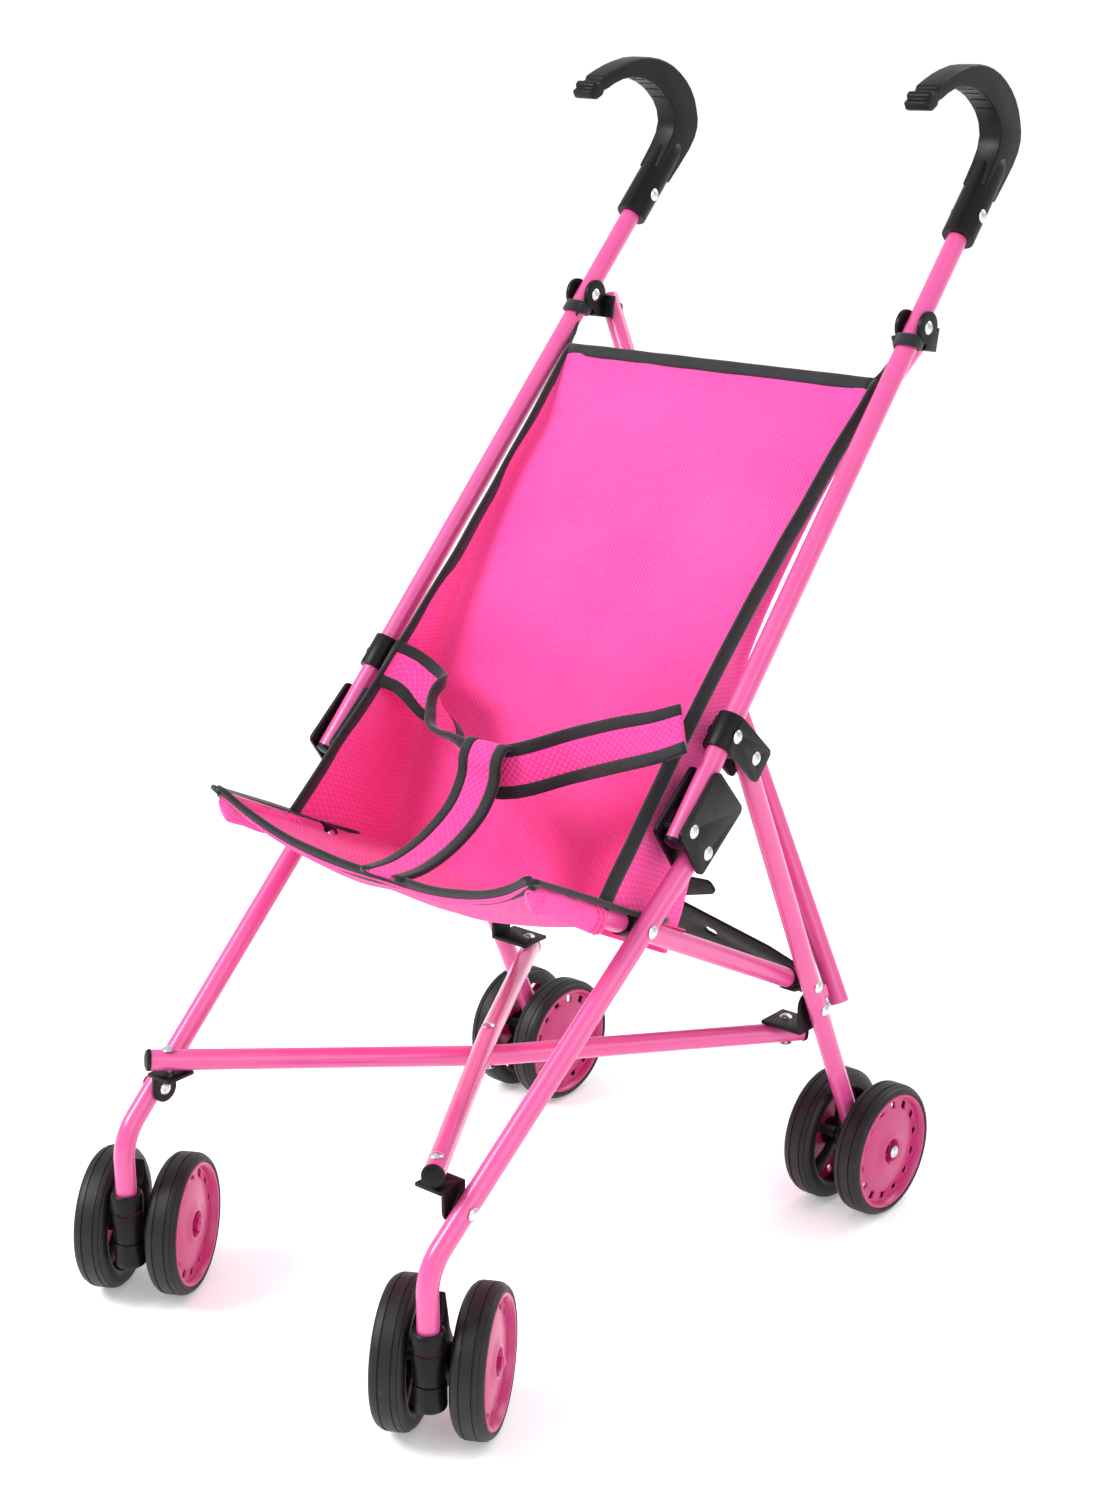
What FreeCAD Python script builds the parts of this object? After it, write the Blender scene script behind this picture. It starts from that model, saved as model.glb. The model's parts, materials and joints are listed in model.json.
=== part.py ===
import FreeCAD, Part
import math
import os

from FreeCAD import Placement, Rotation, Vector

# Doll stroller with an umbrella fold. The front of the stroller faces -Y, its right-hand
# side as seen from the front is +X, and the origin is on the floor below the middle of
# the whole stroller. Every size is in millimetres. The names in SIZES become aliases of
# the sheet "sizes". The frame is drawn about its own plane of symmetry and above the
# middle of its crossed tubes, and each finished sub-part is then moved by "middle_x" and
# "middle_y", because the turned casters put the middle of the whole a little aside.

SIZES = {
    # from the drawing's origin to the middle of the whole stroller
    "middle_x": -6.5,
    "middle_y": 35.7,
    # steel tube and sheet
    "tube_radius": 4.8,
    "tube_wall": 0.9,
    "sheet_thick": 1.8,
    "plate_gap": 0.3,
    "sew_gap": 0.5,
    # rivets
    "rivet_radius": 1.6,
    "head_radius": 3.1,
    "head_height": 1.3,
    "running_gap": 0.05,
    # side frame, in the plane of one side
    "handle_low_x": 105.3,
    "handle_low_y": -16.0,
    "handle_low_z": 232.2,
    "handle_lean": 46.43,
    "handle_taper": 1.43,
    "handle_length": 350.0,
    "plate_x": 104.6,
    "plate_clear": 1.0,
    "hinge_along": 6.3,
    "clamp_along": 53.5,
    "clamp_length": 16.6,
    "clamp_wall": 1.8,
    "clamp_reach": 19.3,
    "bracket_along": 272.5,
    # front leg
    "leg_top_x": 104.9,
    "leg_top_y": -1.5,
    "leg_top_z": 224.0,
    "leg_overhang": 7.0,
    "leg_bend_x": 93.8,
    "leg_bend_y": -164.2,
    "leg_bend_z": 86.0,
    "leg_bend_radius": 24.0,
    "leg_foot_z": 33.0,
    "knuckle_radius": 6.4,
    "knuckle_low": 35.6,
    "knuckle_high": 50.0,
    # rear leg
    "rear_leg_x": 103.5,
    "rear_axle_y": 135.3,
    "rear_overhang": 6.0,
    # seat rail
    "rail_x": 92.0,
    "rail_pivot_y": -34.0,
    "rail_end_z": 129.8,
    "rail_front": 67.0,
    "rail_tail": 4.0,
    "rail_collar_radius": 5.5,
    "rail_collar_length": 9.0,
    # crossed tubes under the seat
    "cross_front_x": 82.05,
    "cross_front_y": -144.5,
    "cross_front_z": 121.3,
    "cross_rear_y": 103.1,
    "cross_rear_z": 95.8,
    "cross_overhang": 8.5,
    "cross_step": 5.2,
    "cross_bend_radius": 160.0,
    "front_bracket_z": 104.6,
    "rear_bracket_z": 115.8,
    "bracket_width": 13.0,
    "bracket_gap": 0.6,
    "shelf_gap": 1.7,
    "slope_gap": 0.5,
    # crossed tubes behind the seat
    "back_low_z": 113.5,
    "back_standoff": 5.6,
    "back_step": 6.0,
    "back_high_x": 92.5,
    "back_overhang": 6.0,
    "ear_radius": 7.5,
    "ear_web": 7.6,
    "ear_drop": 4.0,
    # fold strut between the rear legs
    "strut_pivot_x": 91.0,
    "strut_z": 121.0,
    "strut_rise": 17.0,
    "strut_offset": 8.3,
    "tab_thick": 1.4,
    "strut_height": 23.0,
    "strut_pedal": 52.0,
    # grips
    "grip_radius": 7.6,
    "grip_half_width": 6.0,
    "grip_start": 324.0,
    "grip_straight": 40.0,
    # wheels and casters
    "wheel_radius": 33.0,
    "wheel_half_width": 7.8,
    "tyre_depth": 5.5,
    "axle_radius": 2.2,
    "hub_radius": 5.6,
    "front_wheel_gap": 17.1,
    "rear_wheel_gap": 14.4,
    "caster_trail": 23.7,
    "caster_turn": 28.0,
    "caster_radius": 6.6,
    "caster_low": 23.0,
    "caster_high": 59.0,
    # seat
    "seat_thick": 3.0,
    "seat_half_width": 86.6,
    "back_half_width": 91.4,
    "belt_width": 22.0,
    "wing_thick": 1.8,
}

document = FreeCAD.newDocument("doll_stroller")
sheet = document.addObject("Spreadsheet::Sheet", "sizes")
for row, (word, value) in enumerate(SIZES.items(), start=1):
    sheet.set("A%d" % row, word)
    sheet.set("B%d" % row, str(value))
    sheet.setAlias("B%d" % row, word)
document.recompute()


def size(word):
    """A driving size, read back from the sheet."""
    return float(getattr(sheet, word))


RIGHT = 1
LEFT = -1
SIDES = {"right": RIGHT, "left": LEFT}
X_AXIS = Vector(1, 0, 0)
Z_AXIS = Vector(0, 0, 1)
nodes = {}


# ---------------------------------------------------------------- small helpers

def bind(item, **formulas):
    """Bind properties of an object to cells of the sheet."""
    for name, formula in formulas.items():
        item.setExpression(name, formula)
    return item


def place(item, base, along, across=None):
    """Stand an object's own Z along one direction, its own X near another."""
    along = Vector(along).normalize()
    if across is None:
        item.Placement = Placement(base, Rotation(Z_AXIS, along))
    else:
        item.Placement = Placement(base, Rotation(Vector(across), Vector(), along, "ZXY"))
    return item


def rod(name, start, end, radius):
    """A round bar between two points; its radius is a formula of the sheet."""
    bar = document.addObject("Part::Cylinder", name)
    bind(bar, Radius=radius)
    bar.Height = (end - start).Length
    return place(bar, start, end - start)


def block(name, corner, along_x, along_y, sides):
    """A box from one corner, with its own X and Y along two directions."""
    box = document.addObject("Part::Box", name)
    box.Length, box.Width, box.Height = sides
    along_x = Vector(along_x).normalize()
    up = along_x.cross(Vector(along_y)).normalize()
    box.Placement = Placement(corner, Rotation(along_x, Vector(along_y), up, "XZY"))
    return box


def join(name, parts):
    """Fuse several objects into one."""
    if len(parts) == 1:
        return parts[0]
    fused = document.addObject("Part::MultiFuse", name)
    fused.Shapes = parts
    return fused


def cut(name, base, tools):
    """Cut one or several objects out of a base."""
    result = document.addObject("Part::Cut", name)
    result.Base = base
    result.Tool = join(name + "_tools", tools)
    return result


def group(name, parts):
    """Several separate solids kept in one object."""
    bundle = document.addObject("Part::Compound", name)
    bundle.Links = parts
    return bundle


def node(name, item):
    """Give a finished sub-part its name."""
    item.Label = name
    nodes[name] = item
    return item


def rounded_outline(corners, radius):
    """Straight edges and tangent arcs round a polygon with rounded corners."""
    points = [Vector(x, y, 0) for x, y in corners]
    count = len(points)
    stops = []
    for index, point in enumerate(points):
        back = (points[index - 1] - point).normalize()
        ahead = (points[(index + 1) % count] - point).normalize()
        half_angle = back.getAngle(ahead) / 2
        reach = radius / math.tan(half_angle)
        middle = (back + ahead).normalize() * (radius / math.sin(half_angle) - radius)
        stops.append((point + back * reach, point + middle, point + ahead * reach))
    edges = []
    for index, (first, middle, last) in enumerate(stops):
        edges.append(Part.Arc(first, middle, last))
        edges.append(Part.LineSegment(last, stops[(index + 1) % count][0]))
    return edges


def sheet_piece(name, corners, radius, thickness, placement, reverse=False):
    """A flat piece padded from a rounded outline drawn in its own XY plane."""
    body = document.addObject("PartDesign::Body", name)
    sketch = body.newObject("Sketcher::SketchObject", name + "_outline")
    plane = [p for p in body.Origin.OriginFeatures if p.Role == "XY_Plane"][0]
    sketch.AttachmentSupport = [(plane, "")]
    sketch.MapMode = "FlatFace"
    for edge in rounded_outline(corners, radius):
        sketch.addGeometry(edge, False)
    pad = body.newObject("PartDesign::Pad", name + "_pad")
    pad.Profile = sketch
    pad.setExpression("Length", thickness)
    pad.Reversed = reverse
    body.Placement = placement
    return body


def bent_bar(name, points, radius, bends):
    """A round bar swept along straight runs joined by arcs."""
    edges = []
    start = points[0]
    for index in range(1, len(points) - 1):
        corner = points[index]
        back = (points[index - 1] - corner).normalize()
        ahead = (points[index + 1] - corner).normalize()
        half_angle = back.getAngle(ahead) / 2
        reach = bends / math.tan(half_angle)
        middle = (back + ahead).normalize() * (bends / math.sin(half_angle) - bends)
        edges.append(Part.LineSegment(start, corner + back * reach))
        edges.append(Part.Arc(corner + back * reach, corner + middle, corner + ahead * reach))
        start = corner + ahead * reach
    edges.append(Part.LineSegment(start, points[-1]))
    path = document.addObject("Part::Feature", name + "_path")
    path.Shape = Part.Wire([edge.toShape() for edge in edges])
    ring = document.addObject("Part::Circle", name + "_ring")
    bind(ring, Radius=radius)
    place(ring, points[0], points[1] - points[0])
    sweep = document.addObject("Part::Sweep", name)
    sweep.Sections = [ring]
    sweep.Spine = (path, ["Edge%d" % (index + 1) for index in range(len(edges))])
    sweep.Solid = True
    return sweep


BORE = "sizes.tube_radius - sizes.tube_wall"
HOLE = "sizes.rivet_radius + sizes.running_gap"


def straight_tube(name, start, end, holes):
    """A steel tube, drilled through at each (point, direction, radius)."""
    solid = rod(name + "_outside", start, end, "sizes.tube_radius")
    drills = [rod(name + "_bore", start, end, BORE)]
    return cut(name, solid, drills + drill_set(name, holes))


def drill_set(name, holes):
    """Round cutters, each as long as it needs to be to go right through a tube."""
    reach = size("tube_radius") + 2
    drills = []
    for index, (point, direction, radius) in enumerate(holes):
        half = Vector(direction).normalize() * reach
        drills.append(rod("%s_hole%d" % (name, index), point - half, point + half, radius))
    return drills


def dome(name, base, direction):
    """A rivet's domed head, flat side on the base point."""
    height = size("head_height")
    radius = size("head_radius")
    ball = (radius ** 2 + height ** 2) / (2 * height)
    cap = document.addObject("Part::Sphere", name)
    bind(cap, Radius="(sizes.head_radius^2 + sizes.head_height^2) / (2 * sizes.head_height)")
    cap.Angle1 = math.degrees(math.asin((ball - height) / ball))
    cap.Angle2 = 90
    cap.Angle3 = 360
    direction = Vector(direction).normalize()
    return place(cap, base - direction * (ball - height), direction)


def rivet(name, start, end, heads="both"):
    """A rivet with its shank between two points and domes outside them."""
    parts = [rod(name + "_shank", start, end, "sizes.rivet_radius")]
    if heads in ("both", "start"):
        parts.append(dome(name + "_start", start, start - end))
    if heads in ("both", "end"):
        parts.append(dome(name + "_end", end, end - start))
    return join(name, parts)


# ---------------------------------------------------------------- directions and points

def sided(side, x, y, z):
    return Vector(side * x, y, z)


LEAN = math.radians(size("handle_lean"))
TAPER = math.radians(size("handle_taper"))


def handle_axis(side):
    """Unit vector up one handle tube; the two tubes lean together towards the grips."""
    return Vector(-side * math.sin(TAPER), math.cos(TAPER) * math.cos(LEAN),
                  math.cos(TAPER) * math.sin(LEAN))


HANDLE_BACK = Vector(0, math.sin(LEAN), -math.cos(LEAN))


def handle_point(side, along, back=0):
    """A point on a handle tube's axis, or behind it."""
    low = sided(side, size("handle_low_x"), size("handle_low_y"), size("handle_low_z"))
    return low + handle_axis(side) * along + HANDLE_BACK * back


def leg_line(side, share):
    """A point on the straight part of a front leg: 0 at its rivet, 1 at its bend."""
    top = sided(side, size("leg_top_x"), size("leg_top_y"), size("leg_top_z"))
    bend = sided(side, size("leg_bend_x"), size("leg_bend_y"), size("leg_bend_z"))
    return top + (bend - top) * share


def leg_at_y(side, y):
    share = (y - size("leg_top_y")) / (size("leg_bend_y") - size("leg_top_y"))
    return leg_line(side, share)


def leg_at_z(side, z):
    share = (z - size("leg_top_z")) / (size("leg_bend_z") - size("leg_top_z"))
    return leg_line(side, share)


def clamp_pivot(side):
    point = handle_point(side, size("clamp_along"), size("clamp_reach"))
    point.x = side * size("rear_leg_x")
    return point


def rear_axis(side):
    """Unit vector down one rear leg, from the clamp to the axle."""
    foot = sided(side, size("rear_leg_x"), size("rear_axle_y"), size("wheel_radius"))
    return (foot - clamp_pivot(side)).normalize()


def rear_at_z(side, z):
    top = clamp_pivot(side)
    axis = rear_axis(side)
    return top + axis * ((z - top.z) / axis.z)


REAR_DOWN = rear_axis(RIGHT)
REAR_BACK = Vector(0, -REAR_DOWN.z, REAR_DOWN.y)


def front_bracket_point(side):
    return leg_at_z(side, size("front_bracket_z"))


def rail_pivot(side):
    point = leg_at_y(side, size("rail_pivot_y"))
    return sided(side, size("rail_x"), point.y, point.z)


def rail_end(side):
    point = rear_at_z(side, size("rail_end_z"))
    return sided(side, size("rail_x"), point.y, point.z)


# ---------------------------------------------------------------- crossed tubes under the seat

def cross_points(side):
    """Front rivet, crossing and rear rivet of the tube that starts at one side in front."""
    front = sided(side, size("cross_front_x"), size("cross_front_y"), size("cross_front_z"))
    rear = sided(-side, size("cross_front_x"), size("cross_rear_y"), size("cross_rear_z"))
    middle = (front + rear) / 2
    lift = size("cross_step") if side == RIGHT else -size("cross_step")
    return front, middle + Vector(0, 0, lift), rear


def cross_tube(name, side):
    front, middle, rear = cross_points(side)
    start = front + (front - middle).normalize() * size("cross_overhang")
    end = rear + (rear - middle).normalize() * size("cross_overhang")
    points = [start, middle, end]
    solid = bent_bar(name + "_outside", points, "sizes.tube_radius", size("cross_bend_radius"))
    bore = bent_bar(name + "_bore", points, BORE, size("cross_bend_radius"))
    holes = [(front, Z_AXIS, HOLE), (middle, Z_AXIS, HOLE), (rear, Z_AXIS, HOLE)]
    return node(name, cut(name, solid, [bore] + drill_set(name, holes)))


def cross_rivets(name, side):
    """The upright rivets that hold a sloping crossed tube to its two level brackets."""
    front, middle, rear = cross_points(side)
    tube = size("tube_radius")
    plate = Z_AXIS * (tube + size("shelf_gap") + size("sheet_thick") + 0.02)
    crown = Z_AXIS * (tube + size("slope_gap"))
    front_rivet = rivet(name + "_front", front - plate, front + crown)
    rear_rivet = rivet(name + "_rear", rear - crown, rear + plate)
    return node(name, group(name, [front_rivet, rear_rivet]))


cross_tube("cross_tube_a", LEFT)
cross_tube("cross_tube_b", RIGHT)
cross_rivets("cross_rivets_a", LEFT)
cross_rivets("cross_rivets_b", RIGHT)

low_crossing = cross_points(LEFT)[1] - Z_AXIS * (size("tube_radius") + 0.3)
high_crossing = cross_points(RIGHT)[1] + Z_AXIS * (size("tube_radius") + 0.3)
node("cross_rivet", rivet("cross_rivet", low_crossing, high_crossing))


# ---------------------------------------------------------------- brackets on the crossed tubes

def corner_bracket(name, side, end):
    """A bent sheet bracket: one leg lies on the crossed tube, the other on a frame leg."""
    tube = size("tube_radius")
    thick = size("sheet_thick")
    width = size("bracket_width")
    if end == "front":
        leg = front_bracket_point(side)
        pin = cross_points(side)[0]
        shelf_low = pin.z - tube - size("shelf_gap") - thick
        wall_low = leg.z
        wall_high = shelf_low + thick
    else:
        leg = rear_at_z(side, size("rear_bracket_z"))
        pin = cross_points(-side)[2]
        shelf_low = pin.z + tube + size("shelf_gap")
        wall_low = shelf_low
        wall_high = leg.z
    outer = abs(leg.x) - tube - size("bracket_gap")
    inner = abs(pin.x) - width / 2
    shelf_y = pin.y - width / 2
    wall_y = leg.y - width / 2
    low_y = min(shelf_y, wall_y)
    depth = max(shelf_y, wall_y) + width - low_y
    x_start = inner if side == RIGHT else -outer
    shelf = block(name + "_shelf", Vector(x_start, low_y, shelf_low), X_AXIS, Vector(0, 1, 0),
                  (outer - inner, depth, thick))
    wall_x = outer - thick if side == RIGHT else -outer
    wall = block(name + "_wall", Vector(wall_x, wall_y, wall_low), X_AXIS, Vector(0, 1, 0),
                 (thick, width, wall_high - wall_low))
    lug_base = Vector(wall_x, leg.y, leg.z)
    lug = rod(name + "_lug", lug_base, lug_base + X_AXIS * thick, "sizes.bracket_width / 2")
    reach = Z_AXIS * (thick * 3)
    drills = [rod(name + "_pin_hole", Vector(pin.x, pin.y, shelf_low) - reach,
                  Vector(pin.x, pin.y, shelf_low) + reach, HOLE)]
    if end == "front":
        drills.append(rod(name + "_leg_hole", sided(side, outer - thick * 2, leg.y, leg.z),
                          sided(side, outer + 1, leg.y, leg.z), HOLE))
        return node(name, cut(name, join(name + "_solid", [shelf, wall, lug]), drills))
    boss = dome(name + "_head", sided(side, outer - thick, leg.y, leg.z), sided(-side, 1, 0, 0))
    return node(name, cut(name, join(name + "_solid", [shelf, wall, lug, boss]), drills))


for word, side in SIDES.items():
    corner_bracket("bracket_front_" + word, side, "front")
    corner_bracket("bracket_rear_" + word, side, "rear")


# ---------------------------------------------------------------- front legs

def hinge_point(side):
    """Where the handle tube turns in the hinge plate."""
    return handle_point(side, size("hinge_along"))


def front_leg(side, word):
    name = "front_leg_" + word
    axis = (leg_line(side, 1) - leg_line(side, 0)).normalize()
    start = leg_line(side, 0) - axis * size("leg_overhang")
    bend = leg_line(side, 1)
    foot = sided(side, size("leg_bend_x"), size("leg_bend_y"), size("leg_foot_z"))
    points = [start, bend, foot]
    solid = bent_bar(name + "_outside", points, "sizes.tube_radius", size("leg_bend_radius"))
    bore = bent_bar(name + "_bore", points, BORE, size("leg_bend_radius"))
    rail = rail_pivot(side)
    bracket = front_bracket_point(side)
    holes = [(leg_line(side, 0), X_AXIS, HOLE),
             (Vector(leg_at_y(side, rail.y).x, rail.y, rail.z), X_AXIS, HOLE),
             (bracket, X_AXIS, HOLE)]
    tube = cut(name + "_tube", solid, [bore] + drill_set(name, holes))
    knuckle_axis = sided(side, size("leg_bend_x"), size("leg_bend_y"), 0)
    knuckle = rod(name + "_knuckle", knuckle_axis + Z_AXIS * size("knuckle_low"),
                  knuckle_axis + Z_AXIS * size("knuckle_high"), "sizes.knuckle_radius")
    return node(name, join(name, [tube, knuckle]))


# The hinge plate's outline, along the handle tube from the leg rivet and behind its axis.
HINGE_OUTLINE = [(31.0, -3.5), (27.5, 25.0), (-10.5, 19.0), (-4.5, -7.5)]
HINGE_WEB = (13.0, 27.0)


def hinge_plate(side, word):
    """Two side cheeks and the web that joins them behind the handle tube's end."""
    name = "hinge_plate_" + word
    thick = size("sheet_thick")
    middle = side * size("plate_x")
    half = size("tube_radius") + size("plate_clear")
    origin = leg_line(side, 0)
    behind = (origin - handle_point(side, 0)).dot(HANDLE_BACK)
    along = Vector(0, math.cos(LEAN), math.sin(LEAN))
    corners = [(u, v - behind) for u, v in HINGE_OUTLINE]
    cheeks = []
    for index, x in enumerate((middle + half, middle - half - thick)):
        turn = Rotation(along, HANDLE_BACK, along.cross(HANDLE_BACK), "XYZ")
        base = Vector(x + thick, origin.y, origin.z)
        cheeks.append(sheet_piece("%s_cheek%d" % (name, index), corners, 3.0,
                                  "sizes.sheet_thick", Placement(base, turn)))
    low, high = HINGE_WEB
    start = Vector(middle - half - 0.2, origin.y, origin.z) + along * low
    start = start + HANDLE_BACK * (22.2 - behind)
    web = block(name + "_web", start, along, HANDLE_BACK, (high - low, thick, 2 * half + 0.4))
    if along.cross(HANDLE_BACK).x < 0:
        web.Placement.Base = start + X_AXIS * (2 * half + 0.4)
    solid = join(name + "_solid", cheeks + [web])
    holes = []
    for index, point in enumerate((origin, hinge_point(side))):
        start = Vector(middle - half - 5, point.y, point.z)
        end = Vector(middle + half + 5, point.y, point.z)
        holes.append(rod("%s_hole%d" % (name, index), start, end, HOLE))
    return node(name, cut(name, solid, holes))


def front_leg_rivets(side, word):
    """Hinge, leg, rail and bracket rivets carried by a front leg."""
    name = "front_leg_rivets_" + word
    half = size("tube_radius") + size("plate_clear") + size("sheet_thick") + 0.02
    middle = side * size("plate_x")
    out = Vector(side, 0, 0)
    rivets = []
    for index, point in enumerate((leg_line(side, 0), hinge_point(side))):
        centre = Vector(middle, point.y, point.z)
        rivets.append(rivet("%s_plate%d" % (name, index), centre - out * half, centre + out * half))
    rail = rail_pivot(side)
    leg = leg_at_y(side, rail.y)
    tube = size("tube_radius")
    inner = Vector(rail.x, rail.y, rail.z) - out * (size("rail_collar_radius") + 0.02)
    outer = Vector(leg.x, rail.y, rail.z) + out * (tube + 0.2)
    rivets.append(rivet(name + "_rail", inner, outer))
    bracket = front_bracket_point(side)
    inner = bracket - out * (tube + size("bracket_gap") + size("sheet_thick") + 0.05)
    rivets.append(rivet(name + "_bracket", inner, bracket + out * (tube + 0.2)))
    return node(name, group(name, rivets))


for word, side in SIDES.items():
    front_leg(side, word)
    hinge_plate(side, word)
    front_leg_rivets(side, word)


# ---------------------------------------------------------------- handle tubes, grips and clamps

GRIP_RIVETS = (337.0,)


def handle_tube(side, word):
    name = "handle_tube_" + word
    across = handle_axis(side).cross(X_AXIS).normalize()
    holes = [(hinge_point(side), X_AXIS, HOLE),
             (handle_point(side, size("clamp_along")), X_AXIS, HOLE),
             (handle_point(side, size("bracket_along")), X_AXIS, HOLE)]
    holes += [(handle_point(side, along), X_AXIS, HOLE) for along in GRIP_RIVETS]
    end = handle_point(side, size("handle_length"))
    return node(name, straight_tube(name, handle_point(side, 0), end, holes))


# The grip's hook, along the handle tube and behind its axis.
GRIP_OUTLINE = [(352.0, 6.8), (373.0, 7.8), (385.5, 5.3), (391.6, -1.6), (395.8, -12.0),
                (395.6, -25.0), (392.0, -38.0), (385.0, -49.0), (372.0, -60.0),
                (360.0, -67.0), (350.0, -71.5), (343.5, -73.5), (342.0, -66.5),
                (348.0, -63.5), (355.0, -61.5), (363.4, -57.0), (370.5, -50.0),
                (376.3, -41.0), (380.0, -28.0), (379.5, -16.5), (374.5, -9.5),
                (352.0, -6.8)]


def grip(side, word):
    """A hooked grip that curves forward over the end of the handle tube."""
    name = "grip_" + word
    axis = handle_axis(side)
    inward = axis.cross(HANDLE_BACK).normalize()
    half = size("grip_half_width")
    base = handle_point(side, 0) - inward * half
    hook = sheet_piece(name + "_hook", GRIP_OUTLINE, 1.0, "sizes.grip_half_width * 2",
                       Placement(base, Rotation(axis, HANDLE_BACK, inward, "XYZ")))
    stem = rod(name + "_stem", handle_point(side, size("grip_start")),
               handle_point(side, size("grip_start") + size("grip_straight")), "sizes.grip_radius")
    socket = rod(name + "_socket", handle_point(side, size("grip_start") - 1),
                 handle_point(side, size("handle_length") + 0.3),
                 "sizes.tube_radius + sizes.running_gap")
    reach = X_AXIS * (size("grip_radius") + 3)
    drills = [rod("%s_hole%d" % (name, index), handle_point(side, along) - reach,
                  handle_point(side, along) + reach, HOLE)
              for index, along in enumerate(GRIP_RIVETS)]
    return node(name, cut(name, join(name + "_solid", [hook, stem]), [socket] + drills))


def clamp(side, word):
    """A collar on the handle tube with two ears that hold the rear leg's top."""
    name = "clamp_" + word
    axis = handle_axis(side)
    half = size("clamp_length") / 2
    low = handle_point(side, size("clamp_along") - half)
    high = handle_point(side, size("clamp_along") + half)
    collar = rod(name + "_collar", low, high, "sizes.tube_radius + sizes.clamp_wall")
    ear_gap = size("tube_radius") + size("plate_gap") * 2
    reach = size("clamp_reach")
    corners = [(-half, -2.0), (half, -2.0), (half, reach + half), (-half, reach + half)]
    along = Vector(0, math.cos(LEAN), math.sin(LEAN))
    pivot = clamp_pivot(side)
    centre = handle_point(side, size("clamp_along"))
    ears = []
    for index, x in enumerate((pivot.x + ear_gap, pivot.x - ear_gap - size("sheet_thick"))):
        turn = Rotation(along, HANDLE_BACK, along.cross(HANDLE_BACK), "XYZ")
        base = Vector(x + size("sheet_thick"), centre.y, centre.z)
        ears.append(sheet_piece("%s_ear%d" % (name, index), corners, 2.5,
                                "sizes.sheet_thick", Placement(base, turn)))
    solid = join(name + "_solid", [collar] + ears)
    drills = [rod(name + "_bore", low - axis * 2, high + axis * 2,
                  "sizes.tube_radius + sizes.running_gap")]
    wide = X_AXIS * 15
    for index, point in enumerate((centre, pivot)):
        middle = Vector(pivot.x, point.y, point.z)
        drills.append(rod("%s_hole%d" % (name, index), middle - wide, middle + wide, HOLE))
    return node(name, cut(name, solid, drills))


def handle_rivets(side, word):
    """Clamp, bracket and grip rivets carried by a handle tube."""
    name = "handle_rivets_" + word
    pivot = clamp_pivot(side)
    half = X_AXIS * (size("tube_radius") + size("plate_gap") * 2 + size("sheet_thick") + 0.02)
    centre = handle_point(side, size("clamp_along"))
    rivets = []
    for index, point in enumerate((centre, pivot)):
        middle = Vector(pivot.x, point.y, point.z)
        rivets.append(rivet("%s_clamp%d" % (name, index), middle - half, middle + half))
    bracket = handle_point(side, size("bracket_along"))
    half = X_AXIS * (size("tube_radius") + size("plate_gap") + size("sheet_thick") + 0.02)
    rivets.append(rivet(name + "_bracket", bracket - half, bracket + half))
    half = X_AXIS * (size("grip_radius") + 0.2)
    for index, along in enumerate(GRIP_RIVETS):
        point = handle_point(side, along)
        rivets.append(rivet("%s_grip%d" % (name, index), point - half, point + half))
    return node(name, group(name, rivets))


for word, side in SIDES.items():
    handle_tube(side, word)
    grip(side, word)
    clamp(side, word)
    handle_rivets(side, word)


# ---------------------------------------------------------------- rear legs

def rear_foot(side):
    return sided(side, size("rear_leg_x"), size("rear_axle_y"), size("wheel_radius"))


def strut_layer(side):
    """How far behind the rear leg's axis a strut link's front face lies."""
    step = size("sheet_thick") + size("plate_gap")
    return size("strut_offset") + (0 if side == RIGHT else step)


def rear_leg(side, word):
    name = "rear_leg_" + word
    top = clamp_pivot(side) - rear_axis(side) * size("rear_overhang")
    foot = rear_foot(side) + rear_axis(side) * size("rear_overhang")
    rail = rear_at_z(side, size("rail_end_z"))
    bracket = rear_at_z(side, size("rear_bracket_z"))
    holes = [(clamp_pivot(side), X_AXIS, HOLE), (rail, X_AXIS, HOLE), (bracket, X_AXIS, HOLE),
             (rear_foot(side), X_AXIS, "sizes.axle_radius + sizes.running_gap")]
    tube = straight_tube(name + "_tube", top, foot, holes)
    back = rear_at_z(side, size("back_low_z"))
    blind = rod(name + "_blind", back, back + REAR_BACK * 12, HOLE)
    # a tab on the rear face of the leg carries the strut's end
    face = strut_layer(side) - size("plate_gap")
    tab_centre = rear_at_z(side, size("strut_z"))
    tab_thick = size("tab_thick")
    if side == LEFT:
        tab_thick += size("sheet_thick") + size("plate_gap")
    tab_x = size("strut_pivot_x") - 5.0
    reach = size("rear_leg_x") + 2.0 - tab_x
    start_x = tab_x if side == RIGHT else -(tab_x + reach)
    corner = Vector(start_x, tab_centre.y, tab_centre.z) - REAR_DOWN * 3.6
    corner = corner + REAR_BACK * (face - tab_thick)
    tab = block(name + "_tab", corner, X_AXIS, REAR_DOWN, (reach, 7.2, tab_thick))
    root_x = size("rear_leg_x") - 3.0 if side == RIGHT else -(size("rear_leg_x") + 2.0)
    corner = Vector(root_x, tab_centre.y, tab_centre.z) - REAR_DOWN * 3.6
    corner = corner + REAR_BACK * (size("tube_radius") - 0.8)
    root = block(name + "_root", corner, X_AXIS, REAR_DOWN,
                 (5.0, 7.2, face - size("tube_radius") + 0.8))
    pivot = sided(side, size("strut_pivot_x"), tab_centre.y, tab_centre.z)
    pin_hole = rod(name + "_pin_hole", pivot, pivot + REAR_BACK * 25, HOLE)
    solid = join(name + "_solid", [tube, tab, root])
    return node(name, cut(name, solid, [blind, pin_hole]))


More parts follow.
